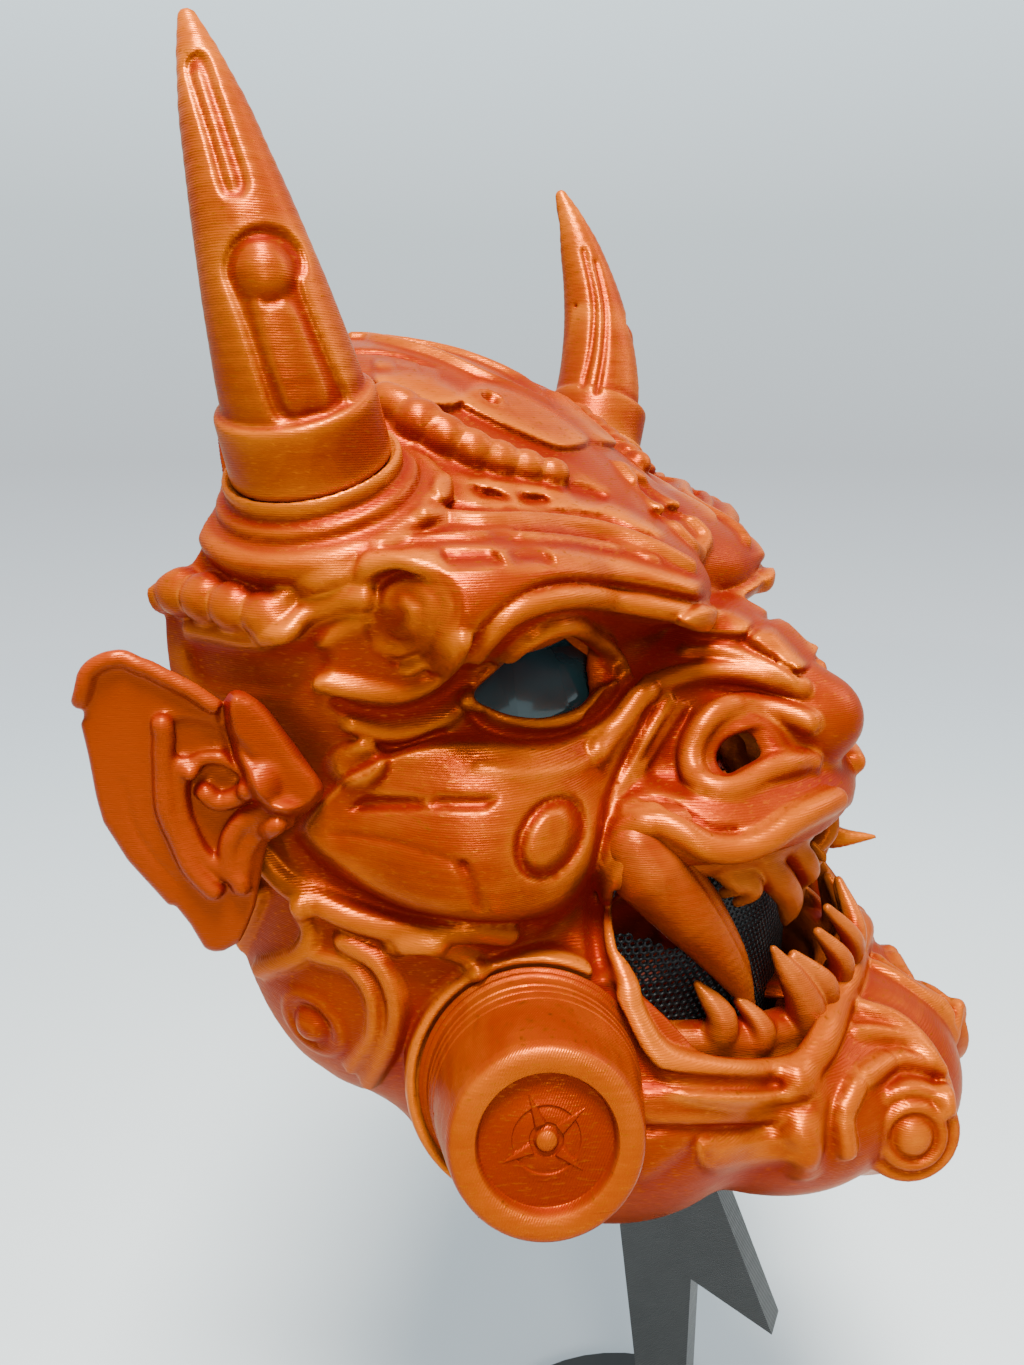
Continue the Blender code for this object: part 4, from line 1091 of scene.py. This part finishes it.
# Gums, teeth and tusks: each tooth by the pixels of its root and tip, on the curve of its row
teeth = {
    "cell": 0.5,
    "faces": 60000,
    "upper": {
        "low": (-52, -104, -116),
        "high": (2, -42, -68),
        "front": -86.0,
        "bow": 27,
        "gum": ((-76, 5.0), (-83, 5.0)),
        "rows": (((712, 868), (723, 893), 2.6, 1.3), ((727, 866), (737, 902), 2.9, 1.3),
                 ((751, 858), (785, 923), 3.9, 0.9), ((783, 846), (793, 886), 3.3, 2.0),
                 ((806, 838), (814, 880), 3.4, 2.2), ((826, 840), (830, 874), 3.0, 2.0)),
    },
    "lower": {
        "low": (-52, -112, -148),
        "high": (2, -46, -92),
        "front": -94.0,
        "bow": 34,
        "gum": ((-127, 4.4), (-134, 5.4)),
        "rows": (((707, 1040), (697, 984), 3.9, 1.0), ((745, 1044), (739, 1000), 3.4, 1.4),
                 ((796, 1046), (773, 948), 5.0, 0.9), ((811, 1000), (794, 956), 3.8, 1.5),
                 ((824, 978), (818, 932), 3.6, 1.3), ((838, 960), (827, 908), 3.2, 1.2)),
    },
    "half": 44.0,
    "rootShift": (0, -2.0, 0),
    "belly": (0, -3.4, 0),         # how far the middle of a tooth bows forward
    "gumSoft": 3,
}


# Where the line of sight through a pixel meets the curved wall that a row of teeth stands in
def onRow(row, pixel):
    aim = sightThrough(pixel)
    reach = np.arange(150, 330, 0.25)[:, None]
    line = eyePlace + aim * reach
    line = line[(line[:, 0] > -45) & (line[:, 0] < 3)]
    past = line[:, 1] - row["front"] - row["bow"] * np.abs(line[:, 0] / teeth["half"]) ** 3
    return line[np.argmax(past > 0) if past.max() > 0 else np.argmax(past)]


def makeTeeth(key):
    row = teeth[key]
    clay = Clay(row["low"], row["high"], cellOf(teeth), folded=True)
    across = np.linspace(-teeth["half"], 0, 12)
    for level, thick in row["gum"]:
        gum = np.stack([across, row["front"] + row["bow"] * np.abs(across / teeth["half"]) ** 3,
                        np.full(12, float(level))], axis=1)
        clay.rod(gum, thick, teeth["gumSoft"])
    for root, tip, wide, sharp in row["rows"]:
        start, stop = onRow(row, root), onRow(row, tip)
        start = start + teeth["rootShift"]
        belly = (start + stop) / 2 + teeth["belly"]
        sizes = [0.95 * wide, wide, 0.85 * wide, 0.55 * wide + 0.3, sharp]
        clay.rod(smoothPath([start, belly, stop], 6), sizes, 1.2)
    clay.soften()
    return clay


for key in ("upper", "lower"):
    rowClay = makeTeeth(key)
    strip = rowClay.mesh("teeth", teeth["faces"] // 2)
    mirrorHalf(strip)
    dress(strip, rowClay, f"{key}_gum_and_teeth")
    standFor(strip, orangeTeeth, "orange_plastic", f"{key}_teeth")

tusk = {
    "cell": 0.5,
    "root": (-44, -61.9, -85),
    "way": (0.36, -0.44, -0.82),
    "length": 45.5,
    "sag": (-0.3, -0.7, 0.5),
    "shape": ((-0.14, 6.6, 0), (0, 8.7, 0), (0.3, 7.5, 0.6), (0.6, 5.3, 0.8), (0.85, 2.9, 0.4),
              (1, 0.8, 0)),
    "low": (-62, -100, -138),
    "high": (-12, -44, -66),
    "faces": 30000,
}


def makeTusk():
    clay = Clay(tusk["low"], tusk["high"], cellOf(tusk))
    way = np.array(tusk["way"]) / np.linalg.norm(tusk["way"])
    sag = np.array(tusk["sag"]) / np.linalg.norm(tusk["sag"]) * 0.07 * tusk["length"]
    root = np.array(tusk["root"])
    knots = [root + way * share * tusk["length"] + sag * swell for share, size, swell in tusk["shape"]]
    clay.rod(smoothPath(knots, 6), [size for share, size, swell in tusk["shape"]], 0)
    clay.groove([(676, 846), (714, 900), (742, 950), (762, 1000)], 0.7, 0.5, 0.8)
    clay.soften()
    return clay


tuskClay = makeTusk()
tuskRight = dress(tuskClay.mesh("tusk", tusk["faces"]), tuskClay, "tusk_printed_right")
standFor(tuskRight, orangeTeeth, "orange_plastic", "upper_tusk_right")
tuskLeft = otherSide(tuskRight, "tusk_printed_left")
standFor(tuskLeft, orangeTeeth, "orange_plastic", "upper_tusk_left")

# Barb on the far lip, which the near side doesn't have
barb = {
    "low": (10, -106, -112),
    "high": (36, -72, -80),
    "cell": 0.5,
    "faces": 6000,
    "line": ((17, -83, -87), (20, -85, -93), (22.5, -89.5, -98), (25.2, -99.5, -97.3)),
    "sizes": (3.4, 3.8, 3.2, 0.6),
}
barbClay = Clay(barb["low"], barb["high"], barb["cell"])
barbClay.rod(smoothPath([np.array(place) for place in barb["line"]], 6), barb["sizes"], 0)
barbPiece = dress(barbClay.mesh("barb", barb["faces"]), barbClay, "lip_barb")
standFor(barbPiece, orange, "orange_plastic")
report("teeth and tusks")

# Canisters: turned about the axis of their flange, with a recessed cap
canister = {
    "profile": ((0, 0.4), (23.0, 0.4), (23.3, 0.8), (23.3, 1.3), (22.9, 1.7), (22.5, 1.9), (22.5, 2.7),
                (22.2, 3.1), (21.7, 3.3), (21.5, 4.0), (21.4, 6.2), (21.1, 6.5), (21.2, 6.9), (21.0, 8.6),
                (20.7, 8.9), (20.8, 9.3), (20.5, 11.5), (20.25, 11.8), (20.3, 12.1), (19.5, 18),
                (18.7, 23.5), (18.0, 27.6), (17.6, 29.0), (17.0, 29.8), (16.2, 30.1), (15.0, 30.2),
                (13.6, 30.1), (12.9, 29.8), (12.5, 29.1), (12.4, 27.9), (12.1, 27.5), (6.8, 27.5),
                (6.5, 27.7), (6.3, 27.7), (6.1, 27.4), (5.6, 27.4), (5.3, 27.6), (3.2, 27.6), (3.0, 27.3),
                (2.4, 27.3), (2.0, 27.6), (1.8, 28.2), (1.2, 28.6), (0, 28.7)),
    "steps": 144,
    "layers": 0.55,
    "ripple": 0.035,
    "blades": ((526, 1088), (597, 1098), (579, 1167), (510, 1159)),
    "bladeReach": 9.6,
    "bladeFoot": (3.0, 1.5),
    "bladeLevels": (27.3, 27.75, 28.15),       # below, at the tip and at the hub
    "cap": 27.5,
    "markSize": (3, 0.55),         # half length for each step of its share, and half height
    "markRadius": 21.55,
    "markTaper": 0.105,
    "marks": ((0.5, 9.6, 1.15), (1.4, 12.5, 0.75), (2.1, 9.6, 0.5), (3.3, 12.5, 0.9), (4.4, 9.6, 1.0),
              (5.4, 12.4, 0.7)),
}


def linkMesh(name, points, faces, edges=()):
    mesh = bpy.data.meshes.new(name)
    mesh.from_pydata(points, edges, faces)
    return putIn(name, mesh)


def joinPieces(pieces):
    bpy.ops.object.select_all(action="DESELECT")
    for piece in pieces:
        piece.select_set(True)
    bpy.context.view_layer.objects.active = pieces[0]
    bpy.ops.object.join()
    return pieces[0]


# Turn every face outward
def outward(piece):
    made = bmesh.new()
    made.from_mesh(piece.data)
    bmesh.ops.recalc_face_normals(made, faces=made.faces)
    made.to_mesh(piece.data)
    made.free()


# Add printed layers to the long straight parts of a profile
def layered(profile, step, ripple):
    points = [profile[0]]
    for (r1, h1), (r2, h2) in zip(profile, profile[1:]):
        length = math.hypot(r2 - r1, h2 - h1)
        count = int(length / step) if abs(h2 - h1) > 1.5 else 0
        for i in range(1, 2 * count):
            share = i / (2 * count)
            swell = ripple if i % 2 else -ripple
            points.append((r1 + (r2 - r1) * share + swell, h1 + (h2 - h1) * share))
        points.append((r2, h2))
    return points


# Axes with the third along a way and the second near upright
def facing(way):
    third = Vector(way).normalized()
    first = Vector((0, 0, 1)).cross(third).normalized()
    second = third.cross(first)
    return Matrix((first, second, third)).transposed()


def makeCanister():
    profile = layered(canister["profile"], canister["layers"], canister["ripple"])
    body = linkMesh("canister", [(r, 0, h) for r, h in profile], [],
                    [(i, i + 1) for i in range(len(profile) - 1)])
    modify(body, "SCREW", axis="Z", steps=canister["steps"], render_steps=canister["steps"],
           use_merge_vertices=True, merge_threshold=0.0001)
    outward(body)
    turn = facing(flangeWay)
    capMiddle = flangePlace + flangeWay * canister["cap"]
    parts = [body]
    for tip in canister["blades"]:
        aim = sightThrough(tip)
        spot = eyePlace + aim * ((capMiddle - eyePlace) @ flangeWay) / (aim @ flangeWay)
        local = np.array(turn.transposed() @ Vector(spot - flangePlace))
        angle = math.atan2(local[1], local[0])
        start, half = canister["bladeFoot"]
        reach = canister["bladeReach"]
        low, tipTop, top = canister["bladeLevels"]
        corners = [(start, -half, low), (reach, 0, low), (start, half, low), (start, -0.55 * half, top),
                   (reach - 1.2, 0, tipTop), (start, 0.55 * half, top)]
        blade = linkMesh("blade", corners, [(2, 1, 0), (3, 4, 5), (0, 1, 4, 3), (1, 2, 5, 4), (2, 0, 3, 5)])
        modify(blade, "BEVEL", width=0.16, segments=2)
        blade.data.transform(Matrix.Rotation(angle, 4, "Z"))
        parts.append(blade)
    for angle, height, long in canister["marks"]:
        radius = canister["markRadius"] - canister["markTaper"] * height
        half, tall = long * canister["markSize"][0], canister["markSize"][1]
        sheet = [(-half, -tall), (half, -tall), (half, tall), (-half, tall)]
        corners = [(radius - deep, across, up) for deep in (0, 1) for across, up in sheet]
        mark = linkMesh("mark", corners, [(0, 1, 2, 3), (7, 6, 5, 4), (0, 4, 5, 1), (1, 5, 6, 2),
                                          (2, 6, 7, 3), (3, 7, 4, 0)])
        modify(mark, "BEVEL", width=0.3, segments=2)
        mark.data.transform(Matrix.Rotation(angle, 4, "Z") @ Matrix.Translation((0, 0, height)))
        parts.append(mark)
    piece = joinPieces(parts)
    height = np.array([vertex.co.z for vertex in piece.data.vertices])
    radius = np.array([math.hypot(vertex.co.x, vertex.co.y) for vertex in piece.data.vertices])
    # Painted shade on the recessed cap floor and at the canister's foot, painted highlights on the hub and
    # on the top of the rim
    relief = np.where((radius < 12.5) & (height < 29), -0.35, 0.1)
    relief = relief + np.where((radius < 2) & (height > 27.9), 0.7, 0)
    relief = relief + np.where((radius > 12.6) & (height > 29.7), 0.4, 0) - np.where(height < 3.2, 0.2, 0)
    keepRelief(piece.data, relief)
    piece.data.transform(Matrix.Scale(mm, 4) @ Matrix.Translation(flangePlace + hornLine) @ turn.to_4x4())
    bpy.ops.object.select_all(action="DESELECT")
    piece.select_set(True)
    bpy.ops.object.shade_smooth_by_angle(angle=math.radians(35))
    piece.name = piece.data.name = "canister_turned_right"
    return piece


canisterRight = makeCanister()
standFor(canisterRight, orangeCanister, "orange_plastic", "canister_right")
canisterLeft = otherSide(canisterRight, "canister_turned_left")
standFor(canisterLeft, orangeCanister, "orange_plastic", "canister_left")
report(f"canisters, {len(canisterRight.data.polygons)} faces each")

# Mouth screen: a bent sheet with six-sided holes in rows, small enough to look round
screen = {
    "front": -81.0,
    "bow": 26 / 46 ** 3,
    "low": -141.0,
    "high": -78.0,
    "half": 90.0,
    "pitch": 1.75,
    "hole": 0.66,
    "thickness": 0.9,
    "alwaysWithin": 38,            # nearer to the middle than this no cell is left out
    "depthInside": 1.6,            # further out, cells stand this far inside the outer form
}


def makeScreen():
    pitch, rise = screen["pitch"], screen["pitch"] * math.sqrt(3) / 2
    rowsUp = int((screen["high"] - screen["low"]) / rise)
    across = int(2 * screen["half"] / pitch)
    column, level = np.meshgrid(np.arange(across), np.arange(rowsUp), indexing="ij")
    u = ((column + 0.5 * (level % 2) - (across - 0.5) / 2) * pitch).ravel()
    v = (screen["low"] + (level + 0.5) * rise).ravel()
    across = np.linspace(-70, 70, 1401)
    back = screen["front"] + screen["bow"] * np.abs(across) ** 3
    walked = np.cumsum(np.hypot(np.gradient(across), np.gradient(back)))
    walked -= walked[700]
    x = np.interp(u, walked, across)
    y = screen["front"] + screen["bow"] * np.abs(x) ** 3
    face.field = face.outer
    deepEnough = face.sample(np.stack([-np.abs(x), y, v], 1)) < -screen["depthInside"]
    inside = (np.abs(x) < screen["alwaysWithin"]) | deepEnough
    u, v = u[inside], v[inside]
    angles = math.pi / 2 + np.arange(6) * math.pi / 3
    ring = np.stack([np.cos(angles), np.sin(angles)], 1)
    outer, inner = pitch / math.sqrt(3) * ring, screen["hole"] * ring
    cell = np.vstack([outer, inner, inner, outer])
    deep = np.repeat([0.0, 0.0, screen["thickness"], screen["thickness"]], 6)
    u = u[:, None] + cell[None, :, 0]
    v = v[:, None] + cell[None, :, 1]
    x = np.interp(u, walked, across)
    tilt = np.arctan(3 * screen["bow"] * x * np.abs(x))
    y = screen["front"] + screen["bow"] * np.abs(x) ** 3 + deep[None] * np.cos(tilt)
    x = x - deep[None] * np.sin(tilt)
    points = np.stack([x, y, v], -1).reshape(-1, 3)
    i = np.arange(6)
    j = (i + 1) % 6
    quads = np.vstack([np.stack([i + a, j + a, j + a + 6, i + a + 6], 1) for a in (0, 6, 12)])
    quads = (quads[None] + 24 * np.arange(len(v))[:, None, None]).reshape(-1, 4)
    mesh = quadMesh("screen", points, quads)
    mesh.transform(Matrix.Scale(mm, 4) @ Matrix.Translation(hornLine))
    return putIn("mouth_screen_perforated", mesh)


screenPiece = makeScreen()
standFor(screenPiece, metal, "black_screen", "mouth_screen")
report(f"screen, {len(screenPiece.data.polygons)} faces")

standEdge = 0.0006                 # how far the stand's edges are rounded, in metres


# A copy of a CAD piece with its sharp edges rounded. With room its top is kept inside the hollow
def rounded(name, source, width, paint, slot, room=None):
    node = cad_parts[source]
    piece = putIn(name, node.data.copy())
    piece.data.transform(node.matrix_world)
    piece.data.name = name
    for vertex in piece.data.vertices if room else ():
        place = np.array(vertex.co) / mm - hornLine
        if place[2] > -40:
            while room.sample(place[None] * (-np.sign(place[0]), 1, 1))[0] > -0.4 and place[2] > -60:
                place[2] -= 0.25
            vertex.co = Vector((place + hornLine) * mm)
    modify(piece, "BEVEL", width=width, segments=3, limit_method="ANGLE", angle_limit=math.radians(40))
    bpy.ops.object.shade_smooth_by_angle(angle=math.radians(35))
    return standFor(piece, paint, slot, source)


face.field = face.hollow
rounded("spine_rounded", "stand_spine", standEdge, grey, "grey_plastic", face)
rounded("foot_rounded", "stand_foot", standEdge, grey, "grey_plastic")
report("stand")


# A pale floor that fades into the background far from the mask
def floorPaint():
    paint = Paint("pale_floor", Roughness=0.6, IOR=1.4)
    spot = paint.add("ShaderNodeTexCoord", output="Object")
    away = paint.add("ShaderNodeVectorMath", {"operation": "LENGTH"}, [spot], output="Value")
    cloud = paint.noise(3.0, 3)
    paint.feed("Base Color", paint.mix(cloud, *stageSettings["floorColours"]))
    start, end = stageSettings["fadeStart"], stageSettings["fadeEnd"]
    paint.feed("Alpha", ((end - away) / (end - start)).clamp())
    return paint.material


stageSettings = {
    "floorRadius": 3.0,
    "fadeStart": 0.35,
    "fadeEnd": 1.5,
    "floorColours": ((0.44, 0.495, 0.54, 1), (0.48, 0.535, 0.58, 1)),
    "sky": ((0.0, (0.55, 0.60, 0.63)), (0.12, (0.64, 0.70, 0.74)), (0.30, (1.22, 1.42, 1.55)),
            (0.40, (0.74, 0.82, 0.88)), (0.48, (0.54, 0.59, 0.63)), (0.58, (0.63, 0.72, 0.76)),
            (0.68, (0.90, 1.06, 1.14)), (1.0, (0.42, 0.45, 0.47))),
    "skyStrength": 1.40,
    "lights": {
        "softbox_top": ((-0.30, -0.12, 1.10), (0.30, 0.36), 50.0),
        "softbox_front": ((-1.05, -0.60, 0.85), (0.30, 0.30), 10.0),
        "softbox_rear": ((0.55, -0.65, 0.90), (0.35, 0.60), 5.0),
    },
    "lightColour": (1.0, 0.93, 0.82),
    "lightAim": (0, 0, 0.25),
}


def makeStage():
    bpy.ops.mesh.primitive_circle_add(vertices=96, radius=stageSettings["floorRadius"], fill_type="NGON")
    floor = bpy.context.object
    floor.name = "floor"
    floor.data.materials.append(floorPaint())
    world = bpy.data.worlds.new("light_tent")
    bpy.context.scene.world = world
    world.use_nodes = True
    nodes, links = world.node_tree.nodes, world.node_tree.links
    spot = nodes.new("ShaderNodeTexCoord")
    parts = nodes.new("ShaderNodeSeparateXYZ")
    height = nodes.new("ShaderNodeMapRange")
    height.inputs["From Min"].default_value = -1
    ramp = nodes.new("ShaderNodeValToRGB")
    stops = stageSettings["sky"]
    while len(ramp.color_ramp.elements) < len(stops):
        ramp.color_ramp.elements.new(0.5)
    for element, (place, colour) in zip(ramp.color_ramp.elements, stops):
        element.position, element.color = place, (*colour, 1)
    links.new(spot.outputs["Generated"], parts.inputs[0])
    links.new(parts.outputs["Z"], height.inputs["Value"])
    links.new(height.outputs[0], ramp.inputs[0])
    links.new(ramp.outputs[0], nodes["Background"].inputs["Color"])
    nodes["Background"].inputs["Strength"].default_value = stageSettings["skyStrength"]


def makeCamera():
    data = bpy.data.cameras.new("camera")
    camera = putIn("camera", data)
    right, up, ahead = rows
    turn = Matrix((right, up, -ahead)).transposed().to_4x4()
    camera.matrix_world = Matrix.Translation(Vector((eyePlace + hornLine) * mm)) @ turn
    data.sensor_width = cameraSettings["sensor"]
    data.sensor_fit = "AUTO"
    data.lens = cameraSettings["sensor"] * focal / cameraSettings["imageHeight"]
    data.clip_start = 0.01
    bpy.context.scene.camera = camera


def makeLight(name, place, size, power):
    data = bpy.data.lights.new(name, "AREA")
    data.shape = "RECTANGLE"
    data.size, data.size_y = size
    data.energy = power
    data.color = stageSettings["lightColour"]
    lamp = putIn(name, data)
    way = Vector(stageSettings["lightAim"]) - Vector(place)
    lamp.matrix_world = Matrix.Translation(place) @ way.to_track_quat("-Z", "Y").to_matrix().to_4x4()


makeStage()
makeCamera()
for name, (place, size, power) in stageSettings["lights"].items():
    makeLight(name, place, size, power)

for name in ("eye_lens_right", "eye_lens_left"):
    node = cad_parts[name]
    node.data.materials.clear()
    node.data.materials.append(smoked)
